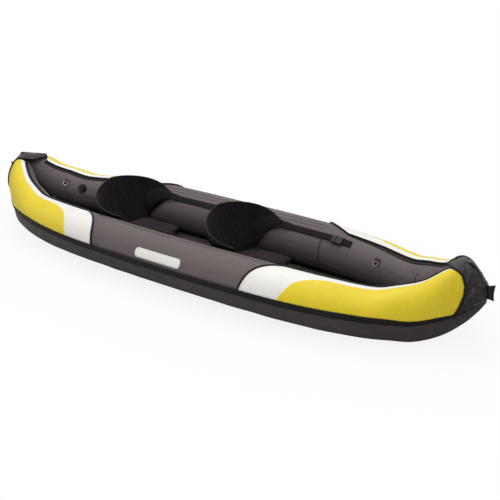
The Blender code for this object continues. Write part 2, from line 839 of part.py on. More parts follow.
def add_floor():
    """A flat air bladder whose top is welded into lengthwise channels."""
    half = [(x, 1.0) for x in STATIONS[:4]]
    half += zip((FLOOR_END - FLOOR_TAPER, FLOOR_END), FLOOR_TAPER_SIZES)
    rows = []
    for x, size in [(-x, size) for x, size in reversed(half[1:])] + half:
        station = Station(x)
        breadth = station.inner + FLOOR_TUCK
        low = station.keel + TARPAULIN + FLOOR_REST
        middle = (low + FLOOR_TOP) / 2
        pitch = 2 * breadth / FLOOR_CHANNELS
        row = [(-breadth, middle)]
        for i in range(FLOOR_CHANNELS):
            centre = -breadth + pitch * (i + 0.5)
            row += [(centre - pitch * FLOOR_CREST / 2, FLOOR_TOP),
                    (centre + pitch * FLOOR_CREST / 2, FLOOR_TOP)]
            if i < FLOOR_CHANNELS - 1:
                row.append((centre + pitch / 2, FLOOR_TOP - FLOOR_WELD_DEPTH))
        flat = breadth - pitch * FLOOR_BILGE
        row += [(breadth, middle), (flat, low), (-flat, low)]
        rows.append([Vector((x, y, middle + (z - middle) * size)) for y, z in row])
    floor = add_object("floor_air_bladder", loft("floor", rows, True), "floor_film")
    thicken(floor, FLOOR_FILM, -1)
    hole = cylinder_mesh("hole", VALVE_NECK * FLOOR_VALVE_SCALE + PIECE_GAP, -CUT_REACH,
                         CUT_REACH)
    combine(floor, add_cutter("floor_film_hole", hole, floor_valve_frame()))


def floor_valve_frame():
    return Matrix.Translation((FLOOR_VALVE_PLACE, 0, FLOOR_TOP))


# Seats

def add_pads():
    """A foam pad on the floor for each seat, with drawn-in sides, a crown and a ring's tab."""
    half_width = pad_half_width()
    for label, seat in SEATS:
        rear = seat + PAD_FRONT - PAD_LENGTH
        rows = []
        for place in PAD_LINES:
            end = abs(place) == 1
            x = rear + PAD_LENGTH * (place + 1) / 2
            row = [Vector((x, -half_width + PAD_TUCK, PAD_BASE))]
            for share in PAD_LINES:
                edge = abs(share) == 1
                top = PAD_THICKNESS + PAD_CROWN * (1 - share ** 2) * (1 - place ** 2)
                height = top / 2 if edge or end else top
                row.append(Vector((x, half_width * share, PAD_BASE + height)))
            row.append(Vector((x, half_width - PAD_TUCK, PAD_BASE)))
            if end:
                low = PAD_BASE + PAD_END_LIFT
                row = [Vector((x, point.y * PAD_END_SIZE, max(point.z, low))) for point in row]
            rows.append(row)
        pad = add_object(f"{label}_seat_pad", loft("pad", rows, True), "seat_cloth")
        frame = pad_ring_frame(seat)
        size = 2 * (pad_ring_bore() + RING_LOOP_WALL)
        tab = add_cutter(f"{label}_pad_tab", box_mesh("tab", (size + PAD_TAB_ROOT, PAD_TAB, size),
                                                      (-PAD_TAB_ROOT / 2, 0, 0)), frame)
        combine(pad, tab, "UNION")
        turned = frame @ Matrix.Rotation(math.pi / 2, 4, "X")
        bore = add_cutter(f"{label}_pad_tab_bore",
                          cylinder_mesh("bore", pad_ring_bore(), -CUT_REACH, CUT_REACH, 12),
                          turned)
        combine(pad, bore)


def pad_half_width():
    """Half of a pad's width, which leaves a gap to each tube where the well is narrower."""
    return Station(REAR_SEAT + SEAT_SPACING + PAD_FRONT).inner - PAD_SIDE_GAP


def pad_ring_bore():
    """Radius of the tab's bore, which clears a curved wire."""
    reach = PAD_TAB / 2
    bend = PAD_RING_RADIUS - math.sqrt(PAD_RING_RADIUS ** 2 - reach ** 2)
    return RING_WIRE + bend + RING_PLAY


def pad_ring_frame(seat):
    """Frame on the axis that a pad's ring turns about, ahead of the pad's front edge."""
    reach = pad_ring_bore() + RING_LOOP_WALL
    return Matrix.Translation((seat + PAD_FRONT + reach, PAD_RING_SIDE,
                               PAD_BASE + PAD_THICKNESS / 2))


def pad_ring_droop(seat):
    """Turn at which a pad's ring hangs down from its tab onto the floor."""
    drop = pad_ring_frame(seat).translation.z - FLOOR_TOP - RING_WIRE - PIECE_GAP
    return math.asin(clamp(drop / (2 * PAD_RING_RADIUS)))


def add_pad_rings():
    for label, seat in SEATS:
        frame = pad_ring_frame(seat) @ Matrix.Rotation(pad_ring_droop(seat), 4, "Y")
        points = []
        for i in range(16):
            turn = math.tau * i / 16
            points.append((PAD_RING_RADIUS * (1 - math.cos(turn)),
                           PAD_RING_RADIUS * math.sin(turn), 0.0))
        mesh = bar_mesh("pad_ring", points, RING_WIRE, True)
        add_object(f"{label}_pad_ring", mesh, "ring_steel", frame)


def strap_frame(side, x, lift):
    return facet_frame(side, x, STRAP_ANGLE, lift, 0.02)


def wing_frame(side, seat):
    """Frame in the end of a backrest's wing, over the tube, where its strap begins."""
    return strap_frame(side, seat + WING_REACH, WING_LIFT)


def buckle_frame(side, seat):
    """Frame in the middle of a buckle's socket, with the bow ahead along X."""
    return facet_frame(side, seat + BUCKLE_AHEAD, STRAP_ANGLE,
                       BUCKLE_LIFT + BUCKLE_THICKNESS / 2, 0.045)


def back_edges(seat, share):
    """Foot and rim of a backrest at a share across it, from -1 at starboard to 1 at port."""
    side = PORT if share > 0 else STARBOARD
    spread = abs(share)
    turn = math.radians(BACK_WRAP * share)
    height = BACK_TOP - BACK_DROP * spread ** 1.3
    ahead = BACK_SET + BACK_DEPTH * (1 - math.cos(turn)) - BACK_LEAN * (height - BACK_HINGE)
    rim = Vector((seat + ahead, BACK_HALF_WIDTH * math.sin(turn), height))
    tip = wing_frame(side, seat)
    tip_foot = tip @ Vector((0, -side * STRAP_WIDTH / 2, 0))
    tip_rim = tip @ Vector((0, side * STRAP_WIDTH / 2, 0))
    if tip_rim.z < tip_foot.z:
        tip_foot, tip_rim = tip_rim, tip_foot
    last = (1.0, tip_foot.x - seat, abs(tip_foot.y), tip_foot.z - BACK_HINGE)
    table = (*BACK_FOOT, last)
    i = next(k for k in range(len(table) - 1) if spread <= table[k + 1][0])
    part = (spread - table[i][0]) / (table[i + 1][0] - table[i][0])
    forward, out, up = [lerp(table[i][k], table[i + 1][k], part) for k in (1, 2, 3)]
    foot = Vector((seat + forward, side * out, BACK_HINGE + up))
    return foot, rim.lerp(tip_rim, ease((spread - 0.75) / 0.25))


def back_point(seat, share, height):
    """Point of a backrest's middle surface, from its foot (0) to its rim (1)."""
    foot, rim = back_edges(seat, share)
    point = foot.lerp(rim, height)
    point.x -= BACK_BULGE * math.sin(math.pi * height) * math.cos(math.pi / 2 * share)
    gap = BACK_TUBE_GAP + BACK_PADDING / 2
    return Station(point.x).clear_of_tube(point, gap)


def add_backrests():
    """A padded fan that stands behind each pad and wraps forward over the tubes' shoulders."""
    shares = (0.0, 0.2, 0.4, 0.55, 0.68, 0.8, 0.91, 1.0)
    heights = (0.0, 0.1, 0.35, 0.65, 0.9, 1.0)
    for label, seat in SEATS:
        rows = []
        for share in both_ways(shares):
            front = []
            rear = []
            for height in heights:
                step = 0.01
                a, b = clamp(share - step, -1, 1), clamp(share + step, -1, 1)
                low, high = clamp(height - step), clamp(height + step)
                along = back_point(seat, b, height) - back_point(seat, a, height)
                up = back_point(seat, share, high) - back_point(seat, share, low)
                normal = along.cross(up).normalized()
                swell = math.sqrt(math.sin(math.pi * height)) if 0 < height < 1 else 0.0
                thickness = lerp(BACK_BINDING, BACK_PADDING, swell * (1 - abs(share) ** 8))
                middle = back_point(seat, share, height)
                front.append(middle + normal * thickness / 2)
                rear.append(middle - normal * thickness / 2)
            rows.append(front + rear[::-1])
        hinge = Matrix.Translation((seat, 0, BACK_HINGE))
        mesh = loft("backrest", rows, True)
        mesh.transform(hinge.inverted())
        add_object(f"{label}_backrest", mesh, "seat_cloth", hinge)


def add_webbing(name, frames):
    """A strip of webbing through a row of frames, flat across their Y axes."""
    half = STRAP_WIDTH / 2
    thick = STRAP_WEBBING / 2
    section = ((-half, -thick), (half, -thick), (half, thick), (-half, thick))
    rows = [[frame @ Vector((0, y, z)) for y, z in section] for frame in frames]
    return add_object(name, loft(name, rows, True), "webbing")


def add_straps():
    for seat_label, seat in SEATS:
        for label, side in SIDES:
            buckle = buckle_frame(side, seat)
            frames = [moved(wing_frame(side, seat), x=WING_GAP)]
            start = seat + WING_REACH
            tail = -SOCKET_LENGTH / 2 - PLUG_LENGTH - PIECE_GAP * 2
            stop = moved(buckle, x=tail).translation.x - STRAP_RISE
            steps = 5
            for i in range(1, steps + 1):
                x = lerp(start, stop, i / steps)
                drop = ease((x - start) / STRAP_DROP)
                frames.append(strap_frame(side, x, lerp(WING_LIFT, STRAP_LIFT, drop)))
            frames.append(moved(buckle, x=tail))
            add_webbing(f"{seat_label}_{label}_strap", frames)
            head = SOCKET_LENGTH / 2 + PIECE_GAP
            frames = [moved(buckle, x=head)]
            for share in (0.35, 1.0):
                x = frames[0].translation.x + ANCHOR_LENGTH * share
                frames.append(strap_frame(side, x, STRAP_LIFT))
            add_webbing(f"{seat_label}_{label}_strap_anchor", frames)


def add_buckles():
    """Side-release buckles: a hollow socket with windows, and a plug with two prongs."""
    inside = BUCKLE_WIDTH - 2 * BUCKLE_WALL
    cavity = BUCKLE_THICKNESS - 2 * BUCKLE_WALL
    mouth = -SOCKET_LENGTH / 2
    for seat_label, seat in SEATS:
        for label, side in SIDES:
            name = f"{seat_label}_{label}"
            frame = buckle_frame(side, seat)
            box = box_mesh("socket", (SOCKET_LENGTH, BUCKLE_WIDTH, BUCKLE_THICKNESS))
            socket = add_object(f"{name}_buckle_socket", box, "black_plastic", frame)
            round_edges(socket, BUCKLE_ROUNDING)
            depth = SOCKET_LENGTH - 2 * BUCKLE_WALL
            hollow = box_mesh("hollow", (depth + CUT_REACH, inside, cavity),
                              (mouth + (depth - CUT_REACH) / 2, 0, 0))
            combine(socket, add_cutter(f"{name}_socket_hollow", hollow, frame))
            window = box_mesh("window", (SOCKET_WINDOW, BUCKLE_WIDTH * 2, cavity))
            combine(socket, add_cutter(f"{name}_socket_window", window, frame))
            body = box_mesh("plug", (PLUG_LENGTH, BUCKLE_WIDTH, BUCKLE_THICKNESS),
                            (mouth - PIECE_GAP - PLUG_LENGTH / 2, 0, 0))
            plug = add_object(f"{name}_buckle_plug", body, "black_plastic", frame)
            round_edges(plug, BUCKLE_ROUNDING)
            for turn in (-1, 1):
                middle = turn * (inside - PRONG_WIDTH - 2 * PRONG_CLEARANCE) / 2
                length = PRONG_LENGTH + PRONG_ROOT
                size = (length, PRONG_WIDTH, cavity - 2 * PRONG_CLEARANCE)
                prong = box_mesh("prong", size, (mouth - PRONG_ROOT + length / 2, middle, 0))
                combine(plug, add_cutter(f"{name}_prong_{turn + 1}", prong, frame), "UNION")


# Valves

def add_valve(name, frame, scale, has_collar):
    """A screw valve on a film: its body, a collar where there is one, and a ribbed cap."""
    def sized(*points):
        return [(radius * scale, height * scale) for radius, height in points]

    flange = VALVE_SEAT / scale + VALVE_FLANGE_THICKNESS
    body = sized((VALVE_RIM, VALVE_RIM_HEIGHT), (VALVE_RIM, flange), (VALVE_FLANGE, flange),
                 (VALVE_FLANGE, VALVE_SEAT / scale), (VALVE_NECK, VALVE_SEAT / scale),
                 (VALVE_NECK, -VALVE_DEPTH), (VALVE_BORE, -VALVE_DEPTH),
                 (VALVE_BORE, VALVE_RIM_HEIGHT))
    add_turned(f"{name}_valve_body", body, "black_plastic", frame)
    gap = PIECE_GAP / scale
    base = flange + gap
    if has_collar:
        top = base + COLLAR_THICKNESS
        collar = sized((COLLAR_RADIUS, top), (COLLAR_RADIUS, base), (VALVE_RIM + gap, base),
                       (VALVE_RIM + gap, top))
        add_turned(f"{name}_valve_collar", collar, "black_plastic", frame)
        base = top + gap
    cap_mesh = cylinder_mesh("cap", CAP_RADIUS * scale, base * scale,
                             (base + CAP_HEIGHT) * scale, CAP_RIBS * 2, CAP_RIB_DEPTH * scale)
    cap = add_object(f"{name}_valve_cap", cap_mesh, "black_plastic", frame)
    hollow = cylinder_mesh("hollow", (VALVE_RIM + gap) * scale, -CUT_REACH,
                           (base + CAP_HEIGHT - CAP_TOP) * scale)
    combine(cap, add_cutter(f"{name}_cap_hollow", hollow, frame))


def add_valves():
    for label, side in SIDES:
        add_valve(label, valve_frame(side), 1.0, True)
    add_valve("floor", floor_valve_frame(), FLOOR_VALVE_SCALE, False)


# D-rings on sewn patches

def ring_frame(place):
    """Frame on the straight bar of a D-ring, over the port tube's inner face."""
    base = LAYER_GAP * 2 + RING_PATCH_CLOTH
    lift = base + RING_LOOP_WALL + RING_PLAY + RING_WIRE
    return facet_frame(PORT, place, RING_ANGLE, lift, 0.02)


def add_d_rings():
    for label, place in (("bow", BOW_RING_PLACE), ("stern", STERN_RING_PLACE)):
        frame = ring_frame(place)
        bore = RING_WIRE + RING_PLAY
        size = 2 * (bore + RING_LOOP_WALL)
        floor = -size / 2
        disc = cylinder_mesh("patch", RING_PATCH, floor - RING_PATCH_CLOTH,
                             floor + RING_LOOP_WELD, 20)
        patch = add_object(f"{label}_ring_patch", disc, "black_vinyl", frame)
        loop = add_cutter(f"{label}_ring_loop", box_mesh("loop", (RING_LOOP, size, size)), frame)
        combine(patch, loop, "UNION")
        turned = frame @ Matrix.Rotation(math.pi / 2, 4, "Y")
        hole = add_cutter(f"{label}_ring_bore",
                          cylinder_mesh("bore", bore, -CUT_REACH, CUT_REACH, 12), turned)
        combine(patch, hole)
        half = RING_WIDTH / 2
        points = [(-half, 0.0, 0.0), (0.0, 0.0, 0.0), (half, 0.0, 0.0)]
        for i in range(9):
            turn = math.pi * i / 8
            points.append((half * math.cos(turn), -(RING_DEPTH - half) - half * math.sin(turn),
                           0.0))
        mesh = bar_mesh("d_ring", points, RING_WIRE, True)
        add_object(f"{label}_d_ring", mesh, "ring_steel", frame)


def main():
    add_side_tubes()
    add_end_panels()
    add_seam_bands()
    add_hull_bottom()
    add_nose_covers()
    add_stem_flaps()
    add_floor()
    add_pads()
    add_pad_rings()
    add_backrests()
    add_straps()
    add_buckles()
    add_valves()
    add_d_rings()


main()
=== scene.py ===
"""A two-seat inflatable kayak in cloth, vinyl and webbing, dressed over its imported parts."""

import math

import bmesh
import bpy
from mathutils import Matrix, Vector, noise


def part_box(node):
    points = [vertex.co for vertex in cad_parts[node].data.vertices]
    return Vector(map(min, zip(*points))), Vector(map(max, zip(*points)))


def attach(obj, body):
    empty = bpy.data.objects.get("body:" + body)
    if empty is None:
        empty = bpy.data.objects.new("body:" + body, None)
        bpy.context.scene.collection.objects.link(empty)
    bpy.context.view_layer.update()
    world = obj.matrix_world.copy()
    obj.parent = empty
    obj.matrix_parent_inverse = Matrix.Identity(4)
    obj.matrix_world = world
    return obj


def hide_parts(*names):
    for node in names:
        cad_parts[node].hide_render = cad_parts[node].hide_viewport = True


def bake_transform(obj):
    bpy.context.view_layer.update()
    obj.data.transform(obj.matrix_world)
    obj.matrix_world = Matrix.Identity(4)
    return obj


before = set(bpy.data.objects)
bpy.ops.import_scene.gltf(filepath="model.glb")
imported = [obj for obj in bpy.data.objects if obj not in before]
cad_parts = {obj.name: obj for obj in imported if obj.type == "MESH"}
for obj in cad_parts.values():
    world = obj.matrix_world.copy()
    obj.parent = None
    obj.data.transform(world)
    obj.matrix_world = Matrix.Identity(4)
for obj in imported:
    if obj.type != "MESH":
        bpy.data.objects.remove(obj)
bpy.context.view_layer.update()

bl_info = {
    "name": "Inflatable Kayak",
    "version": (1, 0, 0),
    "blender": (4, 5, 0),
    "location": "3D View > Sidebar > Kayak",
    "description": "Builds a two-seat inflatable kayak with its seats, straps and fittings",
    "category": "Add Mesh",
}

HULL_BODY = "hull_and_tubes"
SIDES = (("port", 1), ("starboard", -1))
ENDS = (("bow", 1), ("stern", -1))
SEATS = (("rear", -0.635), ("front", 0.139))

# Lines of the hull, in metres. A row of the table has its station as a share of the half length,
# the outer half-breadth as a share of the greatest, the tube's width as a share of its diameter,
# the rise of the tube's bottom, its crest and the keel, the seam's inset and rise, and the crest's
# lean inward.
HALF_LENGTH = 1.592
HALF_BEAM = 0.445
TUBE_DIAMETER = 0.2615
TUBE_BOTTOM = 0.0135
TUBES_APART = 0.0024
SEAM_HEIGHT = 0.143
OFFSETS = (
    (0.0000, 1.000, 1.000, 0.000, 0.000, 0.000, 0.000, 0.000, 0.000),
    (0.3750, 0.971, 0.986, 0.002, 0.000, 0.000, 0.000, 0.000, 0.000),
    (0.5650, 0.881, 0.954, 0.009, -0.010, 0.000, 0.000, 0.000, 0.000),
    (0.6910, 0.762, 0.916, 0.025, -0.018, 0.002, 0.001, -0.002, 0.000),
    (0.7540, 0.679, 0.893, 0.043, 0.007, 0.006, 0.004, 0.000, 0.000),
    (0.8170, 0.591, 0.820, 0.054, 0.040, 0.012, 0.017, 0.000, 0.020),
    (0.8800, 0.459, 0.730, 0.128, 0.106, 0.050, 0.034, 0.020, 0.045),
    (0.9300, 0.335, 0.590, 0.182, 0.111, 0.115, 0.058, 0.050, 0.090),
    (0.9620, 0.185, 0.345, 0.225, 0.050, 0.180, 0.050, 0.090, 0.045),
    (0.9790, 0.022, 0.030, 0.248, 0.018, 0.227, 0.004, 0.108, 0.000),
)
SEAM_PULL_END = 210.0  # angle under the tube where the seam no longer draws the cover out
COVER_END = 1.522
RELIEF_TOP = 0.0008  # most that a cover's relief rises, and how far its middle sinks for it
HOLE_DEPTH = 0.03  # how near a valve's plane the cover is cut
BLADDER_GAP = 0.004
HULL_FULLNESS = 0.58
HULL_FULL_START = 0.45
HULL_FULL_REACH = 0.45
HULL_LIFT = 0.0019
FLAT_MARGIN = 0.02

# Noses, panels and seams. The table has where the outer panels end at the noses, as angles round
# the tube and stations.
NOSE_START = 1.362
NOSE_SIDE = 1.465
NOSE_TIP = 1.557
NOSE_GAP = 0.002
NOSE_CROWN = 0.015
NOSE_BRIDGE = 0.14
NOSE_LIFT = 0.0048
NOSE_FOLDS = 0.0040
NOSE_RIDGES = 0.0052
NOSE_LIFTS = (0.003, 0.0125)
NOSE_EDGE_LIFT = 0.0032
NOSE_EDGE =((-60, 1.366), (-13, 1.385), (20, 1.425), (45, 1.460), (70, 1.482), (92, 1.487),
             (120, 1.478), (160, 1.453))
PORT_NOSE_OVERLAP = 0.038
PORT_BOW_EDGE_SHIFT = 0.05
PANEL_SIZE = (0.85, 0.26)
PANEL_CELLS = (120, 46)
PANEL_LIFTS = {"white": 0.0026, "yellow": 0.0040}
PANEL_ROUND = 0.0022  # how far in from its edge a panel comes up to its lift
PANEL_TUCK = 0.0006  # how far its edge lies under the cover's line
PIPING_ANGLE = -13.0
PIPING_ANGLES_AT_NOSE = {1: -13.0, -1: -9.0}
PIPING_TURN_START = 1.12
PIPING_TURN_REACH = 0.22
PIPING_RADIUS = 0.0052
PIPING_LIFT = 0.0042
PIPING_PAST_PANEL = 1.5  # turn round the tube from a panel's top to the middle of its cord
FACING_WIDTH = 0.020
LABEL_START = -0.175
LABEL_ANGLE = 62
SEAM_BAND = 0.021
WELL_SEAMS = (("ahead", 0.575, -118, -34), ("bow", 1.17, -112, -52))
FLAP_EDGES = (("upper", -7.0, 0.0032), ("lower", -19.0, 0.0026))

# Seats. A row of the foot's table has its share of the half width, and how far ahead, out and up
# from the hinge it lies.
BACK_HINGE = 0.12
BACK_SET = -0.041
BACK_DEPTH = 0.156
BACK_HALF_WIDTH = 0.254
BACK_TOP = 0.379
BACK_DROP = 0.121
BACK_WRAP = 123.6
BACK_LEAN = 0.178
BACK_BULGE = 0.012
BACK_CLEAR = 0.018
BACK_THICKNESS = (0.0045, 0.014)
BACK_PLEATS = 15
BACK_PLEAT_DEPTH = 0.0062
BACK_FOOT = (
    (0.00, 0.005, 0.000, 0.0000),
    (0.46, 0.050, 0.172, 0.0015),
    (0.58, 0.068, 0.177, 0.0300),
    (0.70, 0.082, 0.184, 0.0680),
    (0.84, 0.114, 0.196, 0.0980),
)
WING_REACH = 0.176
WING_LIFT = 0.016
PAD_FRONT = 0.305
PAD_SQUARENESS = 0.24
PAD_DRAW = 0.012
PAD_VOXEL = 0.0055
PAD_PRESSURE = 4.0
PAD_FRAMES = 20
PAD_MOVE = 0.006

# Straps and fittings
STRAP_ANGLE = -40.0
STRAP_LIFT = 0.0028
BUCKLE_LIFT = 0.0075
PLUG_TRAVEL = 0.034
VALVE_PLACE = -1.09
VALVE_ANGLE = -60.0
RING_PLACES = (("bow", 0.93), ("stern", -1.197))
RING_ANGLE = -57.0
PATCH_HALF = 0.020

# Relief of the cloth, in metres: the height and size of each wave, and for gathers along a seam how
# far they reach from it
HULL_SAG = (0.0022, 0.12)
HULL_GATHER = (0.0032, 0.03, 0.045)
COVER_WAVE = (0.0012, 0.22)
COVER_GATHER = (0.0010, 0.032, 0.03)
PANEL_WAVE = (0.0007, 0.11)
PANEL_TOP_GATHER = (0.0009, 0.026, 0.022)
PANEL_FOOT_GATHER = (0.0009, 0.03, 0.03)
PANEL_EDGE_GATHER = (0.0008, 0.028, 0.022)
FACING_GATHER = (0.0007, 0.018, 0.02)
SEAM_WANDER = (0.004, 1.0)
FLAP_WAVE = (0.0016, 0.022)
FLOOR_TIE = (0.0018, 0.035)
PAD_SAG = (0.0024, 0.075)
WELT_WANDER = (0.0012, 0.06)
BACK_CRUMPLE = (0.0018, 0.028)
WEBBING_WAVE = (0.0006, 0.05)
PATCH_WAVE = (0.0003, 0.5)

# Stage
CAMERA_LENS = 62.2
CAMERA_FORWARD = (-0.5170, 0.7542, -0.4048)
LAMPS = (("key", (1.2, -2.6, 3.6), (0.2, 0.1, 0.1), 3.4),
         ("top", (-0.4, 0.6, 4.4), (0.0, 0.0, 0.1), 4.5),
         ("side", (-4.2, -1.6, 2.2), (-0.4, 0.0, 0.2), 2.6))
WHITE = (1.0, 1.0, 1.0, 1.0)
FLOOR_GREY = (0.86, 0.86, 0.86, 1.0)
FLOOR_GLOW = {"From Min": 0.4, "From Max": 1.25, "To Min": 0.86, "To Max": 1.0}


def clamp(value, low=0.0, high=1.0):
    return min(max(value, low), high)


def lerp(a, b, t):
    return a + (b - a) * t


def ease(t):
    t = clamp(t)
    return t * t * (3 - 2 * t)


def ripple(x, y, z, wave, seed=0.0):
    """Smooth relief, of a wave's height and size."""
    height, size = wave
    return height * noise.noise(Vector((x / size + seed, y / size - seed, z / size + seed * 0.5)))


def pucker(along, distance, gather, seed):
    """Gathers that run square to a seam and die away from it."""
    height, size, reach = gather
    wave = noise.noise(Vector((along / size, distance / (size * 4), seed)))
    return height * (wave * math.exp(-abs(distance) / reach))


# Lines of the hull

def offsets_at(x):
    """The table's values at a station, with a smooth curve through its rows."""
    last = len(OFFSETS) - 1
    share = clamp(abs(x) / HALF_LENGTH, 0.0, OFFSETS[last][0])
    i = next(k for k in range(last) if share <= OFFSETS[k + 1][0])
    low, high = OFFSETS[i], OFFSETS[i + 1]
    before = OFFSETS[i - 1] if i else (-high[0], *high[1:])
    after = OFFSETS[min(i + 2, last)]
    span = high[0] - low[0]
    t = (share - low[0]) / span
    values = []
    for column in range(1, len(low)):
        rise_low = (high[column] - before[column]) / (high[0] - before[0])
        rise_high = (after[column] - low[column]) / (after[0] - low[0])
        values.append(
            low[column] * (1 + 2 * t) * (1 - t) ** 2 + rise_low * span * t * (1 - t) ** 2
            + high[column] * t * t * (3 - 2 * t) - rise_high * span * t * t * (1 - t))
    return values


class Station:
    """Cross section of the hull at one place, for its port half."""

    known = {}

    def __init__(self, x):
        breadth, width, bottom, crest, keel, inset, seam, lean = offsets_at(x)
        self.x = x
        self.lean = max(lean, 0.0)
        self.outer = HALF_BEAM * breadth
        self.inner = max(self.outer - TUBE_DIAMETER * width, TUBES_APART / 2)
        self.bottom = TUBE_BOTTOM + bottom
        self.top = TUBE_BOTTOM + TUBE_DIAMETER + crest
        self.keel = max(keel, 0.0)
        self.y = (self.outer + self.inner) / 2
        self.z = (self.top + self.bottom) / 2
        self.half_width = (self.outer - self.inner) / 2
        self.half_height = (self.top - self.bottom) / 2
        self.seam_y = self.outer - inset
        self.seam_z = SEAM_HEIGHT + seam
        self.seam_angle = max(91, 90 + math.degrees(math.atan2(
            (self.z - self.seam_z) / self.half_height, (self.seam_y - self.y) / self.half_width)))

    @classmethod
    def at(cls, x):
        key = round(x, 5)
        if key not in cls.known:
            cls.known[key] = cls(key)
        return cls.known[key]

    def on_tube(self, angle):
        """Point of the round tube, at an angle outward from its crest."""
        turn = math.radians(angle)
        lean = self.lean * (1 + math.cos(turn)) / 2
        return Vector((self.x, self.y + self.half_width * math.sin(turn) - lean,
                       self.z + self.half_height * math.cos(turn)))

    def on_cover(self, angle):
        """Point of the cover, which the seam to the hull draws out of round."""
        angle = (angle + 180) % 360 - 180
        if angle < SEAM_PULL_END - 360:
            angle += 360
        point = self.on_tube(angle)
        if angle > 90:
            reach = self.seam_angle - 90
            past = (SEAM_PULL_END - angle) / (SEAM_PULL_END - self.seam_angle)
            pull = clamp((angle - 90) / reach) ** 2 if angle < self.seam_angle else ease(past)
            end = self.on_tube(self.seam_angle)
            point.y += (self.seam_y - end.y) * pull
            point.z += (self.seam_z - end.z) * pull
        point.y = max(point.y, TUBES_APART / 2)
        return point

    def degrees(self, distance):
        return math.degrees(distance / self.half_height)

    def foot(self):
        """Angle of the lower edge of what is sewn on the cover."""
        return self.seam_angle - self.degrees(SEAM_BAND * 0.2)


def skin(side, x, angle, lift=0.0):
    """Point over the cover, at a lift from it."""
    point = Station.at(x).on_cover(angle)
    if lift:
        point = point + skin_normal(x, angle) * lift
    return Vector((point.x, side * point.y, point.z))


def skin_normal(x, angle):
    """Direction out of the port cover."""
    step = 0.005
    along = Station.at(x + step).on_cover(angle) - Station.at(x - step).on_cover(angle)
    around = Station.at(x).on_cover(angle + 2) - Station.at(x).on_cover(angle - 2)
    return around.cross(along).normalized() * -1.0


def skin_frame(side, x, angle, lift=0.0):
    """Frame over the cover: X toward the bow, Z out of it."""
    origin = skin(side, x, angle, lift)
    along = (skin(side, x + 0.01, angle) - skin(side, x - 0.01, angle)).normalized()
    normal = skin_normal(x, angle)
    normal.y *= side
    across = normal.cross(along).normalized()
    turned = Matrix((along, across, along.cross(across))).transposed().to_4x4()
    turned.translation = origin
    return turned


def piping_angle(x, side):
    """Angle of the cord along a panel's top. The two sides are sewn a little apart at the noses."""
    share = clamp((abs(x) - PIPING_TURN_START) / PIPING_TURN_REACH)
    return lerp(PIPING_ANGLE, PIPING_ANGLES_AT_NOSE[side], share ** 1.2)


def nose_edge(angle, side):
    """Station where the outer panels end and the nose cover begins, by angle."""
    angle = clamp(angle, NOSE_EDGE[0][0], NOSE_EDGE[-1][0])
    i = next(k for k in range(len(NOSE_EDGE) - 1) if angle <= NOSE_EDGE[k + 1][0])
    (low, start), (high, stop) = NOSE_EDGE[i:i + 2]
    edge = lerp(start, stop, (angle - low) / (high - low))
    if side > 0:
        edge -= PORT_NOSE_OVERLAP * (1 - ease((angle - 20) / 60))
    return edge


# Making meshes

def close_edges(count, length):
    """Shares along a length for a grid's lines, with some close to both ends."""
    near = [0.0] + [step / length for step in (0.0012, 0.003, 0.006)]
    inner = count - 2 * (len(near) - 1)
    middle = [lerp(near[-1], 1 - near[-1], i / inner) for i in range(1, inner)]
    return near + middle + [1 - share for share in reversed(near)]


def grid(columns, rows, place, size, round_trip=False, along=None, across=None):
    """A grid of cells, with each corner where place puts its shares, and a UV map in metres."""
    bm = bmesh.new()
    bmesh.ops.create_grid(bm, x_segments=columns, y_segments=rows, size=0.5)
    layer = bm.loops.layers.uv.new("UVMap")
    shares = {}
    for vertex in bm.verts:
        i = round((vertex.co.x + 0.5) * columns)
        j = round((vertex.co.y + 0.5) * rows)
        shares[vertex] = (along[i] if along else i / columns, across[j] if across else j / rows)
    for face in bm.faces:
        face.smooth = True
        for loop in face.loops:
            u, v = shares[loop.vert]
            loop[layer].uv = (u * size[0], v * size[1])
    for vertex, (u, v) in shares.items():
        vertex.co = place(u, v)
    if round_trip:
        bmesh.ops.remove_doubles(bm, verts=bm.verts, dist=1e-6)
    return bm


def close_ends(bm):
    """Close a tube's open ends."""
    edges = [edge for edge in bm.edges if edge.is_boundary]
    bmesh.ops.holes_fill(bm, edges=edges, sides=0)


def face_out(bm, point=None):
    """Turn a sheet's faces away from a point, or a closed form's outwards."""
    if point is None:
        bmesh.ops.recalc_face_normals(bm, faces=bm.faces)
    elif sum(face.normal.dot(face.calc_center_median() - point) for face in bm.faces) < 0:
        bmesh.ops.reverse_faces(bm, faces=bm.faces)


def outward(bm, side):
    """Turn the faces of a sheet on a side tube out of the tube."""
    bm.normal_update()
    total = 0.0
    for face in bm.faces:
        centre = face.calc_center_median()
        station = Station.at(centre.x)
        total += face.normal.dot(centre - Vector((centre.x, side * station.y, station.z)))
    if total < 0:
        bmesh.ops.reverse_faces(bm, faces=bm.faces)


def piece(name, bm, finish, slot=None, node=None, body=HULL_BODY, thickness=0.0, offset=-1.0):
    """Make a shown piece of a finished mesh, on the body that carries it."""
    mesh = bpy.data.meshes.new(name)
    bm.to_mesh(mesh)
    bm.free()
    obj = bpy.data.objects.new(name, mesh)
    bpy.context.scene.collection.objects.link(obj)
    mesh.materials.append(material_for(finish))
    if thickness:
        wall = obj.modifiers.new("Cloth", "SOLIDIFY")
        wall.thickness = thickness
        wall.offset = offset
        wall.use_even_offset = False
    if body:
        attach(obj, body)
    if node:
        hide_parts(node)
    return obj


def bake(obj):
    """Apply what the modifiers give, and leave none."""
    shown = obj.evaluated_get(bpy.context.evaluated_depsgraph_get())
    mesh = bpy.data.meshes.new_from_object(shown)
    obj.modifiers.clear()
    old = obj.data
    obj.data = mesh
    bpy.data.meshes.remove(old)


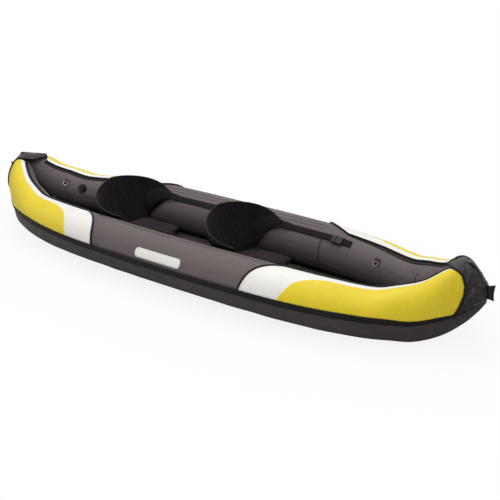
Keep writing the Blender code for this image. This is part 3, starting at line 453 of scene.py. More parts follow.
def tube_sheet(points, radius, sides, closed=False):
    """A round bar along a route, with its ends closed."""
    count = len(points)
    tangents = []
    for i, point in enumerate(points):
        before = points[i - 1] if i or closed else point
        after = points[(i + 1) % count] if i < count - 1 or closed else point
        tangents.append((after - before).normalized())
    normal = tangents[0].orthogonal().normalized()
    normals = []
    for tangent in tangents:
        normal = (normal - tangent * normal.dot(tangent)).normalized()
        normals.append(normal.copy())
    columns = count if closed else count - 1

    def place(u, v):
        i = round(u * columns) % count
        turn = math.tau * v
        side = tangents[i].cross(normals[i])
        return points[i] + radius * (normals[i] * math.cos(turn) + side * math.sin(turn))

    length = sum((b - a).length for a, b in zip(points, points[1:]))
    bm = grid(columns, sides, place, (length, math.tau * radius), True)
    if not closed:
        close_ends(bm)
    face_out(bm)
    return bm


def strip(side, route, width, lift, bulge, wave, steps):
    """A narrow band over the cover, along stations and angles, with a UV map across it."""
    count = len(route) - 1

    def place(u, v):
        x, angle = route[round(u * count)]
        turn = Station.at(x).degrees(width * (v - 0.5))
        across = 2 * v - 1
        rise = lift + bulge * math.sqrt(max(0.0, 1 - across * across))
        rise += wave * noise.noise(Vector((x / 0.03, v * 2, side * 3.0)))
        return skin(side, x, angle + turn, rise)

    length = sum(abs(b[0] - a[0]) + 0.13 * math.radians(abs(b[1] - a[1]))
                 for a, b in zip(route, route[1:]))
    bm = grid(count, steps, place, (length, width))
    outward(bm, side)
    return bm


def smooth_route(points, parts):
    """A curve through points, with equal parts between them."""
    route = []
    last = len(points) - 1
    for i in range(last):
        a, b, c, d = (points[k] for k in (max(i - 1, 0), i, i + 1, min(i + 2, last)))
        for k in range(parts):
            t = k / parts
            route.append(0.5 * ((2 * b) + (c - a) * t + (2 * a - 5 * b + 4 * c - d) * t * t
                                + (3 * b - a - 3 * c + d) * t ** 3))
    route.append(points[last])
    return route


# Materials

STITCH_PITCH = 0.0042
STITCH_SHARE = 0.68
STITCH_WIDTH = 0.0006


def linear(red, green, blue):
    """A screen colour of 0 to 255 as the shader's own numbers."""
    return tuple(c / 255 / 12.92 if c <= 10 else ((c / 255 + 0.055) / 1.055) ** 2.4
                 for c in (red, green, blue))


def shade(colour, amount):
    return tuple(clamp(channel * amount) for channel in colour)


def add_node(tree, kind, inputs=(), **settings):
    """Add a shader node. Each input is a value or the socket that feeds it."""
    node = tree.nodes.new(f"ShaderNode{kind}")
    for name, value in settings.items():
        setattr(node, name, value)
    for key, value in dict(inputs).items():
        if isinstance(value, bpy.types.NodeSocket):
            tree.links.new(value, node.inputs[key])
        elif value is not None:
            node.inputs[key].default_value = value
    return node


class Finish:
    """Builds one surface's nodes, a layer at a time."""

    def __init__(self, name, colour, roughness, specular=0.5, **more):
        self.base = tuple(colour)
        self.material = bpy.data.materials.new(name)
        self.material.use_nodes = True
        self.material.diffuse_color = (*self.base, 1.0)
        self.tree = self.material.node_tree
        self.shader = self.tree.nodes["Principled BSDF"]
        self.place = self.node("TexCoord").outputs
        self.colour = (*self.base, 1.0)
        self.normal = None
        inputs = {"Base Color": self.colour, "Roughness": roughness,
                  "Specular IOR Level": specular}
        inputs.update((key.replace("_", " ").title(), value) for key, value in more.items())
        for key, value in inputs.items():
            self.shader.inputs[key].default_value = value

    def node(self, kind, inputs=(), **settings):
        return add_node(self.tree, kind, inputs, **settings)

    def value(self, operation, *items):
        return self.node("Math", enumerate(items), operation=operation).outputs[0]

    def noise(self, scale, detail, rough=0.55, stretch=(1, 1, 1), twist=0.0):
        mapping = self.node("Mapping", {"Vector": self.place["Object"], "Scale": stretch})
        return self.node("TexNoise", {
            "Vector": mapping.outputs["Vector"], "Scale": scale, "Detail": detail,
            "Roughness": rough, "Distortion": twist}).outputs["Fac"]

    def uv(self):
        return self.node("SeparateXYZ", {0: self.place["UV"]}).outputs[:2]

    def spread(self, source, low, high, from_low=0.3, from_high=0.7):
        return self.node("MapRange", {"Value": source, "From Min": from_low, "From Max": from_high,
                                      "To Min": low, "To Max": high}).outputs["Result"]

    def mix(self, factor, first, second):
        """Blend two colours, and make that the base colour."""
        node = self.node("Mix", {0: factor, 6: first, 7: (*second, 1.0)}, data_type="RGBA")
        self.colour = node.outputs[2]
        self.tree.links.new(self.colour, self.shader.inputs["Base Color"])
        return self

    def mottle(self, scale, detail, dark, light, rough=0.55):
        """Patches of a darker and a lighter shade."""
        tone = self.spread(self.noise(scale, detail, rough), 0.0, 1.0)
        return self.mix(tone, (*shade(self.base, dark), 1.0), shade(self.base, light))

    def overlay(self, mask, amount):
        """Another shade of the colour where a mask is."""
        return self.mix(mask, self.colour, shade(self.base, amount))

    def uneven(self, scale, detail, low, high):
        """A roughness that varies between two levels."""
        rough = self.spread(self.noise(scale, detail), low, high)
        self.tree.links.new(rough, self.shader.inputs["Roughness"])
        return self

    def bump(self, height, distance, strength=1.0):
        self.normal = self.node("Bump", {"Height": height, "Distance": distance,
                                         "Strength": strength,
                                         "Normal": self.normal}).outputs["Normal"]
        self.tree.links.new(self.normal, self.shader.inputs["Normal"])
        return self

    def lumps(self, scale, detail, distance, strength, **look):
        return self.bump(self.noise(scale, detail, **look), distance, strength)

    def weave(self, period, distance):
        """Threads over and under, along and across the piece."""
        warp, weft = (self.value("SINE", self.value("MULTIPLY", way, math.tau / period))
                      for way in self.uv())
        return self.bump(self.value("MULTIPLY", warp, weft), distance)

    def stitches(self, width, inset):
        """A mask of dashes along both edges of a band, inset by a share of its width."""
        u, v = self.uv()
        dash = self.value("LESS_THAN", self.value("FRACT", self.value("DIVIDE", u, STITCH_PITCH)),
                          STITCH_SHARE)
        lines = [self.value("COMPARE", v, width * share, STITCH_WIDTH)
                 for share in (inset, 1 - inset)]
        return self.value("MULTIPLY", self.value("MAXIMUM", *lines), dash)


def coated_cloth(name, colour, roughness, dark=0.86, light=1.08, crease=0.0009):
    """Woven cloth with a thin coating, slightly uneven, with soft creases."""
    finish = Finish(name, colour, roughness, 0.3).mottle(2.2, 4.0, dark, light, 0.6)
    grime = finish.noise(38.0, 5.0, 0.65)
    finish.overlay(finish.spread(grime, 0.0, 0.16, 0.45, 0.75), 0.6)
    finish.uneven(9.0, 3.0, roughness - 0.07, roughness + 0.08)
    finish.lumps(7.0, 3.0, crease * 5, 0.35, rough=0.5, twist=0.6)
    return finish.lumps(46.0, 2.0, crease, 0.4, rough=0.5).weave(0.0011, 0.00012)


def tarpaulin(look):
    """Vinyl over a coarse scrim, scuffed toward the ground."""
    finish = Finish("tarpaulin", look.tarpaulin, 0.5, 0.25).mottle(3.0, 4.0, 0.82, 1.14)
    scuff = finish.noise(24.0, 6.0, 0.7, (0.35, 1, 1))
    finish.overlay(finish.spread(scuff, 0.0, 0.3, 0.52, 0.78), 1.9).uneven(14.0, 4.0, 0.42, 0.62)
    finish.lumps(9.0, 4.0, 0.006, 0.4, stretch=(0.6, 1, 1), twist=0.9)
    return finish.lumps(60.0, 2.0, 0.0009, 0.4).weave(0.0021, 0.0002)


def black_vinyl(name, look, shine, crumple):
    """Glossy coated cloth, crumpled where it is stretched over an end."""
    finish = Finish(name, look.vinyl, shine, 0.3).mottle(6.0, 4.0, 0.7, 1.35)
    finish.uneven(18.0, 3.0, shine - 0.12, shine + 0.12)
    finish.lumps(12.0, 4.0, 0.012, crumple, rough=0.6, twist=2.2)
    return finish.lumps(70.0, 3.0, 0.0008, 0.5).weave(0.0012, 0.00008)


def binding_cloth(name, look, width):
    """A folded band, stitched along both edges."""
    finish = Finish(name, look.binding, 0.55, 0.15).mottle(11.0, 4.0, 0.75, 1.3)
    mask = finish.stitches(width, 0.16)
    finish.overlay(mask, 4.5).lumps(30.0, 3.0, 0.0012, 0.5)
    return finish.weave(0.0014, 0.00018).bump(mask, 0.0004)


def piping_cord(look):
    finish = Finish("piping_cord", look.binding, 0.42, 0.15).mottle(25.0, 3.0, 0.8, 1.5)
    return finish.lumps(140.0, 2.0, 0.0004, 0.5).weave(0.002, 0.00015)


def floor_vinyl(look):
    finish = Finish("floor_vinyl", look.floor_film, 0.42, 0.3).mottle(4.0, 4.0, 0.8, 1.2)
    finish.uneven(12.0, 4.0, 0.34, 0.55)
    finish.lumps(16.0, 3.0, 0.004, 0.5, rough=0.5, stretch=(0.5, 1.6, 1))
    return finish.lumps(90.0, 2.0, 0.0006, 0.5)


def seat_cloth(name, look, lift=1.0):
    """Soft brushed cloth with a fine weave."""
    finish = Finish(name, shade(look.seat, lift), 0.86, 0.12, sheen_weight=0.03,
                    sheen_roughness=0.4).mottle(7.0, 4.0, 0.72, 1.3)
    finish.overlay(finish.spread(finish.noise(120.0, 3.0), 0.0, 0.35, 0.5, 0.72), 1.7)
    return finish.lumps(26.0, 3.0, 0.002, 0.45, rough=0.5).weave(0.0016, 0.00022)


def webbing_cloth(look):
    """Ribbed webbing, stitched along both edges."""
    finish = Finish("webbing", look.webbing, 0.7, 0.15).mottle(16.0, 4.0, 0.75, 1.45)
    u, v = finish.uv()
    rib = finish.value("SINE", finish.value("MULTIPLY", v, math.tau / 0.0034))
    slant = finish.value("ADD", u, finish.value("MULTIPLY", rib, 0.0009))
    thread = finish.value("SINE", finish.value("MULTIPLY", slant, math.tau / 0.0021))
    mask = finish.stitches(look.strap_width, 0.1)
    return finish.overlay(mask, 5.0).bump(rib, 0.0003).bump(thread, 0.00018).bump(mask, 0.0004)


def moulded_plastic(look):
    finish = Finish("moulded_plastic", look.plastic, 0.44, 0.2).mottle(40.0, 3.0, 0.8, 1.5)
    return finish.uneven(90.0, 3.0, 0.34, 0.54).lumps(900.0, 2.0, 0.00008, 0.6)


def ring_steel(look):
    finish = Finish("ring_steel", look.steel, 0.2, metallic=1.0).mottle(60.0, 3.0, 0.85, 1.1)
    return finish.uneven(160.0, 3.0, 0.14, 0.34).lumps(420.0, 2.0, 0.00006, 0.5)


def air_film(look):
    finish = Finish("air_film", look.film, 0.3).mottle(8.0, 3.0, 0.85, 1.15)
    return finish.lumps(22.0, 3.0, 0.002, 0.5)


def bare_label(look):
    """A plain white label of stiff vinyl, with a pressed line inside its edge."""
    finish = coated_cloth("bare_label", look.white, 0.36, 0.96, 1.02, 0.0003)

    def from_edge(way, size):
        off_middle = finish.value("SUBTRACT", way, size / 2)
        return finish.value("SUBTRACT", size / 2, finish.value("ABSOLUTE", off_middle))

    u, v = finish.uv()
    near = finish.value("MINIMUM", from_edge(u, look.label_length),
                        from_edge(v, look.label_height))
    line = finish.value("COMPARE", near, look.label_border, 0.0007)
    finish.mix(finish.value("MULTIPLY", line, 0.55), finish.colour, shade(look.grey, 0.9))
    return finish.bump(finish.value("MULTIPLY", line, -1.0), 0.0005)


FINISHES = {
    "grey": lambda look: coated_cloth("grey_cloth", look.grey, 0.62),
    "yellow": lambda look: coated_cloth("yellow_cloth", look.yellow, 0.4, 0.93, 1.04),
    "white": lambda look: coated_cloth("white_cloth", look.white, 0.42, 0.95, 1.02),
    "tarpaulin": tarpaulin,
    "nose": lambda look: black_vinyl("nose_vinyl", look, 0.26, 0.8),
    "vinyl": lambda look: black_vinyl("black_vinyl", look, 0.4, 0.3),
    "band": lambda look: binding_cloth("seam_band", look, look.band_width),
    "piping": piping_cord,
    "floor": floor_vinyl,
    "pad": lambda look: seat_cloth("pad_cloth", look, 3.0),
    "back": lambda look: seat_cloth("back_cloth", look),
    "webbing": webbing_cloth,
    "plastic": moulded_plastic,
    "steel": ring_steel,
    "film": air_film,
    "label": bare_label,
}
MATERIALS = {}


def material_for(key):
    """The material of the finish with this name, built once."""
    if key not in MATERIALS:
        MATERIALS[key] = FINISHES[key](bpy.context.scene.kayak_finish).material
    return MATERIALS[key]


def refinish(key, *nodes):
    """Give CAD nodes that stay a shown finish."""
    for name in nodes:
        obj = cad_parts[name]
        if not obj.material_slots:
            obj.data.materials.append(material_for(key))
        for slot in obj.material_slots:
            slot.material = material_for(key)


# Hull and tubes

def hull_curve(x):
    """Half of the tarpaulin's section, from the seam down to the keel."""
    station = Station.at(x)
    start = station.seam_angle + station.degrees(0.002)
    snug = []
    for angle in (start, *(max(angle, start + 4) for angle in (112.5, 135, 157.5, 180))):
        turn = math.radians(angle)
        snug.append(station.on_cover(angle)
                    + Vector((0, math.sin(turn), math.cos(turn))) * HULL_LIFT)
    flat = station.inner + FLAT_MARGIN
    snug += [Vector((x, flat * share, station.keel)) for share in (1.0, 0.5, 0.0)]
    top, last = snug[0], len(snug) - 1
    tube = [station.on_cover(station.seam_angle + 4 * i) for i in range(20)]
    full = []
    for i in range(last + 1):
        turn = math.pi / 2 * i / last
        z = lerp(top.z, station.keel, math.sin(turn) ** HULL_FULLNESS)
        breadth = next((lerp(under.y, above.y, (z - under.z) / (above.z - under.z))
                        for above, under in zip(tube, tube[1:]) if under.z <= z <= above.z), 0.0)
        y = max(top.y * math.cos(turn) ** HULL_FULLNESS, breadth + HULL_LIFT * 2)
        full.append(Vector((x, y if i < last else 0.0, z)))
    share = ease((abs(x) - HULL_FULL_START) / HULL_FULL_REACH)
    return [a.lerp(b, share) for a, b in zip(snug, full)]


class KAYAK_OT_hull(bpy.types.Operator):
    """Lay the tarpaulin hull under the tubes, gathered a little along its seam"""
    bl_idname = "kayak.hull"
    bl_label = "Hull"

    def execute(self, context):
        curves = {}

        def place(u, v):
            x = lerp(-NOSE_TIP, NOSE_TIP, u)
            key = round(x, 5)
            if key not in curves:
                curves[key] = smooth_route(hull_curve(key), 5)
            route = curves[key]
            keel = Station.at(x).keel
            across = 2 * abs(v - 0.5)
            spot = (1 - across) * (len(route) - 1)
            i = min(int(spot), len(route) - 2)
            point = route[i].lerp(route[i + 1], spot - i)
            down = (1 - across) * 0.42
            side = 1 if v >= 0.5 else -1
            gather = pucker(x, down, HULL_GATHER, side) * clamp(abs(x) / 0.7, 0.35, 1.0)
            sag = ripple(x, side * point.y, point.z, HULL_SAG, 3.0)
            fade = clamp((point.z - keel) / 0.02) * clamp(down / 0.01)
            point = point + Vector((0, 1, -0.4)).normalized() * (gather + sag) * fade
            return Vector((x, side * max(point.y, 0.0), max(point.z, keel)))

        bm = grid(360, 72, place, (2 * NOSE_TIP, 0.9), True)
        bm.normal_update()
        face_out(bm, Vector((0, 0, 0.6)))
        piece("tarpaulin_hull", bm, "tarpaulin", "tarpaulin", "hull_bottom", thickness=0.0014)
        return {"FINISHED"}


class KAYAK_OT_covers(bpy.types.Operator):
    """Draw the sewn cloth covers over the side tubes"""
    bl_idname = "kayak.covers"
    bl_label = "Tube covers"

    def execute(self, context):
        radius = context.scene.kayak_sizes.valve_window
        for label, side in SIDES:
            hole = skin_frame(side, VALVE_PLACE, VALVE_ANGLE)
            self.add_cover(label, side, hole, radius)
            hem = []
            for i in range(40):
                turn = math.tau * i / 40
                spot = hole @ Vector((radius * math.cos(turn), radius * math.sin(turn), 0))
                hem.append(self.on_skin(side, spot))
            piece(f"{label}_valve_hem", tube_sheet(hem, 0.0021, 10, True), "piping",
                  "black_vinyl")
            self.add_bladder(label, side)
        return {"FINISHED"}

    def add_cover(self, label, side, hole, radius):
        """A cover, with a round hole for its valve."""
        into_hole = hole.inverted()

        def place(u, v):
            x = lerp(-COVER_END, COVER_END, u)
            angle = 360 * v
            station = Station.at(x)
            edge = abs((angle - station.seam_angle + 180) % 360 - 180)
            reach = math.radians(edge) * station.half_height
            relief = ripple(x, side * angle / 40, 0.0, COVER_WAVE, 1.0)
            relief += pucker(x, reach, COVER_GATHER, side * 2)
            sink = RELIEF_TOP if abs(x) < 1.3 else 0.0
            point = skin(side, x, angle, min(relief, RELIEF_TOP) - sink)
            near = into_hole @ point
            flat = math.hypot(near.x, near.y)
            if abs(near.z) < HOLE_DEPTH and radius * 0.55 < flat < radius * 1.3:
                on_edge = near * 1.0
                on_edge.xy = near.xy * (radius / flat)
                share = ease(1 - abs(flat - radius) / (radius * 0.45))
                point = hole @ near.lerp(on_edge, share * 0.9)
            return point

        bm = grid(380, 96, place, (2 * COVER_END, 0.82), True)
        doomed = []
        for face in bm.faces:
            near = into_hole @ face.calc_center_median()
            if math.hypot(near.x, near.y) < radius * 0.97 and abs(near.z) < HOLE_DEPTH:
                doomed.append(face)
        bmesh.ops.delete(bm, geom=doomed, context="FACES")
        ends = [edge for edge in bm.edges
                if edge.is_boundary and abs(abs(edge.verts[0].co.x) - COVER_END) < 1e-4]
        bmesh.ops.holes_fill(bm, edges=ends, sides=0)
        outward(bm, side)
        cover = piece(f"{label}_cover", bm, "grey", "grey_cloth")
        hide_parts(f"{label}_tube_cover", f"{label}_stern_cover")

    def add_bladder(self, label, side):
        """The film tube inside a cover."""
        def place(u, v):
            x = lerp(-COVER_END + 0.02, COVER_END - 0.02, u)
            return skin(side, x, 360 * v, -min(BLADDER_GAP, Station.at(x).half_width * 0.3))

        bm = grid(150, 48, place, (2 * COVER_END, 0.8), True)
        close_ends(bm)
        face_out(bm)
        piece(f"{label}_bladder", bm, "film", "bladder_film", f"{label}_air_bladder")

    def on_skin(self, side, spot):
        """The cover's point nearest a spot just off it."""
        station = Station.at(spot.x)
        angle = math.degrees(math.atan2((side * spot.y - station.y) / station.half_width,
                                        (spot.z - station.z) / station.half_height))
        return skin(side, spot.x, angle, 0.0006)


def panel_place(side, end, edge, top, lift, seed):
    """How a panel over one end of a cover lies, by share along it and height up it."""
    foot_at_nose, top_at_nose = Station.at(NOSE_SIDE).foot(), top(NOSE_START, side)

    def place(u, v):
        start = edge(v)
        stop = nose_edge(lerp(foot_at_nose, top_at_nose, v), side) - NOSE_GAP
        x = lerp(start, stop, u)
        station = Station.at(x)
        foot, crown = station.foot(), top(x, side)
        angle = lerp(foot, crown, v)
        length = stop - start
        span = math.radians(abs(foot - crown)) * station.half_height
        nearest = min(u * length, (1 - u) * length, v * span, (1 - v) * span)
        rise = lift * (1 - math.exp(-(nearest / PANEL_ROUND) ** 2)) - PANEL_TUCK
        relief = pucker(x, (1 - v) * span, PANEL_TOP_GATHER, seed)
        relief += pucker(x, v * span, PANEL_FOOT_GATHER, seed + 7)
        relief += pucker(angle / 400, u * length, PANEL_EDGE_GATHER, seed + 3)
        relief += ripple(x, angle / 120, 0, PANEL_WAVE, seed)
        calm = clamp(nearest / 0.006) * clamp((v * span - 0.012) / 0.03, 0.12)
        return skin(side, end * x, angle, rise + (relief + PANEL_TUCK) * calm)

    return place


class KAYAK_OT_panels(bpy.types.Operator):
    """Sew the white and yellow panels over the ends of the covers, and lay the bare label"""
    bl_idname = "kayak.panels"
    bl_label = "End panels"

    def execute(self, context):
        sizes = context.scene.kayak_sizes
        along, across = (close_edges(*pair) for pair in zip(PANEL_CELLS, PANEL_SIZE))

        def yellow_top(x, side):
            border = sizes.white_border * (1 - 0.15 * ease((abs(x) - 0.9) / 0.45))
            return piping_angle(x, side) + border

        for end_label, end in ENDS:
            for label, side in SIDES:
                name = f"{label}_{end_label}"
                shift = PORT_BOW_EDGE_SHIFT if side > 0 and end > 0 else 0.0

                def white_edge(height):
                    return (sizes.white_edge + 0.06 * height + 0.12 * height ** 4
                            + shift * height ** 2)

                def yellow_edge(height):
                    past = clamp((height - 0.55) / 0.45)
                    bend = 1 - math.sqrt(max(0.0, 1 - past * past))
                    return sizes.yellow_edge + 0.10 * height + 0.17 * bend + shift * height ** 2

                for colour, edge, top in (("white", white_edge, piping_angle),
                                          ("yellow", yellow_edge, yellow_top)):
                    place = panel_place(side, end, edge, top, PANEL_LIFTS[colour],
                                        side * 11 + end * 5)
                    bm = grid(*PANEL_CELLS, place, PANEL_SIZE, False, along, across)
                    outward(bm, side)
                    piece(f"{name}_{colour}_cloth", bm, colour, f"{colour}_cloth",
                          f"{name}_{colour}_panel", thickness=0.0009)
                self.add_piping(name, side, end, white_edge)
        self.add_label(context.scene.kayak_finish)
        return {"FINISHED"}

    def add_piping(self, name, side, end, edge):
        """A covered cord up the panel's edge and along its top."""
        places = []
        for i in range(13):
            height = i / 12
            x = edge(height)
            places.append((x, lerp(Station.at(x).foot(), piping_angle(x, side), height)))
        start = places[-1][0]
        stop = nose_edge(piping_angle(NOSE_START, side), side) + 0.004
        for i in range(1, 45):
            x = lerp(start, stop, i / 44)
            places.append((x, piping_angle(x, side)))
        points = [skin(side, end * x, angle - PIPING_PAST_PANEL, PIPING_LIFT)
                  for x, angle in places]
        piece(f"{name}_cord", tube_sheet(smooth_route(points, 3), PIPING_RADIUS, 10), "piping",
              "black_vinyl", f"{name}_piping")
        self.add_facing(name, side, end, start, stop)

    def add_facing(self, name, side, end, start, stop):
        """The black facing sewn inside the piping, wider toward the nose."""
        def place(u, v):
            x = lerp(start + 0.02, stop, u)
            grown = FACING_WIDTH * lerp(0.35, 1.0, ease(u * 2.2))
            turn = PIPING_PAST_PANEL + Station.at(x).degrees(0.003 + grown * v)
            rise = 0.0030 - 0.0022 * v ** 4 + pucker(x, v * 0.01, FACING_GATHER, side)
            return skin(side, end * x, piping_angle(x, side) - turn, rise)

        bm = grid(130, 8, place, (stop - start, FACING_WIDTH))
        outward(bm, side)
        piece(f"{name}_facing", bm, "piping", "black_vinyl", thickness=0.0010)

    def add_label(self, look):
        """A plain label with round corners, on the starboard side."""
        length, height = look.label_length, look.label_height
        corner = height * 0.42

        def place(u, v):
            across = v - 0.5
            from_end = min(u, 1 - u) * length
            inset = max(0.0, corner - from_end)
            squeeze = 1 - (1 - math.sqrt(max(0.0, 1 - (inset / corner) ** 2))) * 0.8
            x = LABEL_START + length * u
            turn = Station.at(x).degrees(height * across * squeeze)
            near = min(from_end, (0.5 - abs(across)) * height)
            return skin(-1, x, LABEL_ANGLE - turn, 0.0014 * clamp(near / 0.002) + 0.0002)

        bm = grid(60, 14, place, (length, height))
        outward(bm, -1)
        piece("starboard_label", bm, "label", "white_cloth", thickness=0.0008)


class KAYAK_OT_seams(bpy.types.Operator):
    """Bind the seams between covers and hull, and sew the seams inside the well"""
    bl_idname = "kayak.seams"
    bl_label = "Seam bindings"

    def execute(self, context):
        width = context.scene.kayak_finish.band_width
        reach = NOSE_TIP - 0.025
        for label, side in SIDES:
            route = []
            for i in range(301):
                x = lerp(-reach, reach, i / 300)
                station = Station.at(x)
                route.append((x, station.seam_angle - station.degrees(width * 0.6)))
            bm = strip(side, route, width * 1.45, lift=0.0056, bulge=0.0024, wave=0.0005, steps=10)
            piece(f"{label}_band", bm, "band", "black_vinyl", f"{label}_seam_binding",
                  thickness=0.0050)
            for name, x, low, high in WELL_SEAMS:
                angles = [lerp(low, high, i / 24) for i in range(25)]
                points = [skin(side, x + ripple(angle / 30, 0, 0, SEAM_WANDER), angle, 0.0006)
                          for angle in angles]
                piece(f"{label}_{name}_seam", tube_sheet(smooth_route(points, 2), 0.0017, 8),
                      "piping", "black_vinyl")
            for name, angle, size in FLAP_EDGES:
                route = [(lerp(-0.55, 0.56, i / 110), angle) for i in range(111)]
                bm = strip(side, route, size, lift=0.0004, bulge=0.0012, wave=0.0004, steps=4)
                piece(f"{label}_{name}_flap_edge", bm, "grey", "grey_cloth", thickness=0.0006)
        return {"FINISHED"}


class KAYAK_OT_noses(bpy.types.Operator):
    """Stretch the crumpled vinyl cover over each end, and weld the stem flap below it"""
    bl_idname = "kayak.noses"
    bl_label = "Nose covers"

    def execute(self, context):
        foot = Station.at(NOSE_SIDE).foot()
        for label, end in ENDS:
            self.add_cover(label, end, foot)
            self.add_hem(label, end, foot)
            self.add_flap(label, end)
        return {"FINISHED"}

    def add_cover(self, label, end, foot):
        """A cover from one side over the tubes and the gap between them to the other."""
        def place(u, v):
            across = 2 * v - 1
            side = 1 if across >= 0 else -1
            spread = abs(across)
            part = clamp((spread - NOSE_BRIDGE) / (1 - NOSE_BRIDGE))
            inward = clamp(1 - spread / NOSE_BRIDGE)
            edge = lerp(nose_edge(foot * part, side), NOSE_START, ease(inward))
            x = lerp(edge, NOSE_TIP, u)
            station = Station.at(x)
            if part > 0:
                point = station.on_cover(station.foot() * part)
                normal = skin_normal(min(x, NOSE_TIP - 0.006), station.foot() * part)
            else:
                crest = station.on_cover(0)
                crown = NOSE_CROWN * math.sin(math.pi / 2 * inward) * (1 - u ** 2)
                crown *= 0.82 + 0.36 * noise.noise(Vector((x * 22, inward * 1.5 * side, end)))
                point = Vector((x, crest.y * (1 - inward), crest.z + crown))
                normal = Vector((0.4, 0.0, 1.0)).normalized()
            where = Vector((end * point.x, side * point.y, point.z))
            folds = noise.fractal(where * 22 + Vector((end * 4, 0, 0)), 0.9, 2.1, 3)
            ridge = 1 - abs(noise.noise(where * 30 + Vector((0, end * 9, 1))))
            lift = NOSE_LIFT + NOSE_FOLDS * folds + NOSE_RIDGES * ridge ** 5 * clamp(spread + 0.4)
            nearest = min(u * 0.12, (1 - spread) * 0.3)
            lift = lerp(NOSE_EDGE_LIFT, clamp(lift, *NOSE_LIFTS), clamp(nearest / 0.012))
            point = point + normal * lift
            return Vector((end * point.x, side * point.y, point.z))

        bm = grid(56, 150, place, (0.15, 0.6), True)
        face_out(bm, Vector((end * 1.3, 0, 0.22)))
        piece(f"{label}_nose", bm, "nose", "black_vinyl", f"{label}_nose_cover",
              thickness=0.0016)

    def add_hem(self, label, end, foot):
        """The turned edge of a nose cover, from one seam over the tubes to the other."""
        halves = []
        for side in (1, -1):
            angles = [foot * (1 - i / 40) for i in range(41)]
            half = [skin(side, end * nose_edge(angle, side), angle, 0.0062) for angle in angles]
            for k in range(1, 6):
                inward = k / 5
                x = lerp(nose_edge(0, side), NOSE_START, ease(inward))
                crest = Station.at(x).on_cover(0)
                crown = 0.006 + NOSE_CROWN * 0.8 * math.sin(math.pi / 2 * inward)
                half.append(Vector((end * x, side * crest.y * (1 - inward), crest.z + crown)))
            halves.append(half)
        route = smooth_route(halves[0] + halves[1][-2::-1], 2)
        piece(f"{label}_nose_hem", tube_sheet(route, 0.0056, 10), "piping", "black_vinyl")

    def add_flap(self, label, end):
        """Two layers of hull cloth welded into an upright flap."""
        low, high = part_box(f"{label}_stem_flap")
        near, far = sorted((abs(low[0]), abs(high[0])))
        for name, y, shift, node in (("port", 0.0024, 0.0, f"{label}_stem_flap"),
                                     ("starboard", -0.0024, 0.006, None)):

            def place(u, v):
                x = lerp(near - 0.006, far - 0.0015 - shift, u)
                top = lerp(high[2] - 0.012, high[2] - 0.001 - shift, u)
                bottom = lerp(low[2] + 0.006, low[2] + 0.001 + shift, ease(u))
                z = lerp(bottom, top, v)
                bow_out = 0.004 * math.sin(math.pi * v) * ease((u - 0.6) / 0.4)
                wave = ripple(x, 0, z, FLAP_WAVE, 5.0 + y * 1000)
                return Vector((end * (x - bow_out), y + wave * u, z))

            bm = grid(14, 30, place, (far - near, high[2] - low[2]))
            bm.normal_update()
            face_out(bm, Vector((end * (near + far) / 2, -y, (low[2] + high[2]) / 2)))
            flap = piece(f"{label}_{name}_flap", bm, "vinyl", "black_vinyl", node,
                         thickness=0.0034, offset=0.0)
            rounding = flap.modifiers.new("Edge", "BEVEL")
            rounding.width = 0.0009
            rounding.segments = 2


class KAYAK_OT_floor(bpy.types.Operator):
    """Lay the air floor with its welded channels"""
    bl_idname = "kayak.floor"
    bl_label = "Air floor"

    def execute(self, context):
        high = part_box("floor_air_bladder")[1]
        end = high[0]
        channels = context.scene.kayak_sizes.floor_channels

        def place(u, v):
            turn = math.tau * v
            x = lerp(-end, end, u)
            station = Station.at(x)
            left = clamp((end - abs(x)) / 0.035)
            round_off = math.sqrt(max(0.0, 1 - (1 - left) ** 2))
            across = math.cos(turn)
            y = (station.inner + 0.007) * (0.9 + 0.1 * round_off) * across
            base = station.keel + 0.0034
            middle, half = (base + high[2]) / 2, (high[2] - base) / 2
            rise = abs(math.sin(turn)) ** 0.35 * round_off
            if math.sin(turn) < 0:
                return Vector((x, y, middle - half * rise))
            phase = (across + 1) / 2 * channels
            swell = math.sqrt(max(0.0, 1 - (2 * (phase % 1.0) - 1) ** 4))
            tie = ripple(x, y, 0, FLOOR_TIE, 2.0) * (1 - swell)
            return Vector((x, y, middle + (half - 0.010 * (1 - swell) + tie) * rise))

        bm = grid(150, 120, place, (2 * end, 0.8), True)
        close_ends(bm)
        face_out(bm)
        piece("air_floor", bm, "floor", "floor_film", "floor_air_bladder")
        refinish("plastic", "floor_valve_body", "floor_valve_cap")
        return {"FINISHED"}


# Seats

def settle(obj, floor_height):
    """Blow a pad up a little as cloth under pressure, and keep it off what it rests on."""
    remesh = obj.modifiers.new("Remesh", "REMESH")
    remesh.mode = "VOXEL"
    remesh.voxel_size = PAD_VOXEL
    bake(obj)
    start = [vertex.co.copy() for vertex in obj.data.vertices]
    cloth = obj.modifiers.new("Cloth", "CLOTH")
    cloth.settings.use_pressure = True
    cloth.settings.uniform_pressure_force = PAD_PRESSURE
    cloth.settings.effector_weights.gravity = 0.0
    cloth.settings.quality = 5
    cloth.point_cache.frame_start = 1
    cloth.point_cache.frame_end = PAD_FRAMES
    for step in range(1, PAD_FRAMES + 1):
        bpy.context.scene.frame_set(step)
    bake(obj)
    bpy.context.scene.frame_set(1)
    for vertex, before in zip(obj.data.vertices, start):
        move = vertex.co - before
        if move.length > PAD_MOVE:
            move = move.normalized() * PAD_MOVE
        vertex.co = before + move
        vertex.co.z = max(vertex.co.z, floor_height)


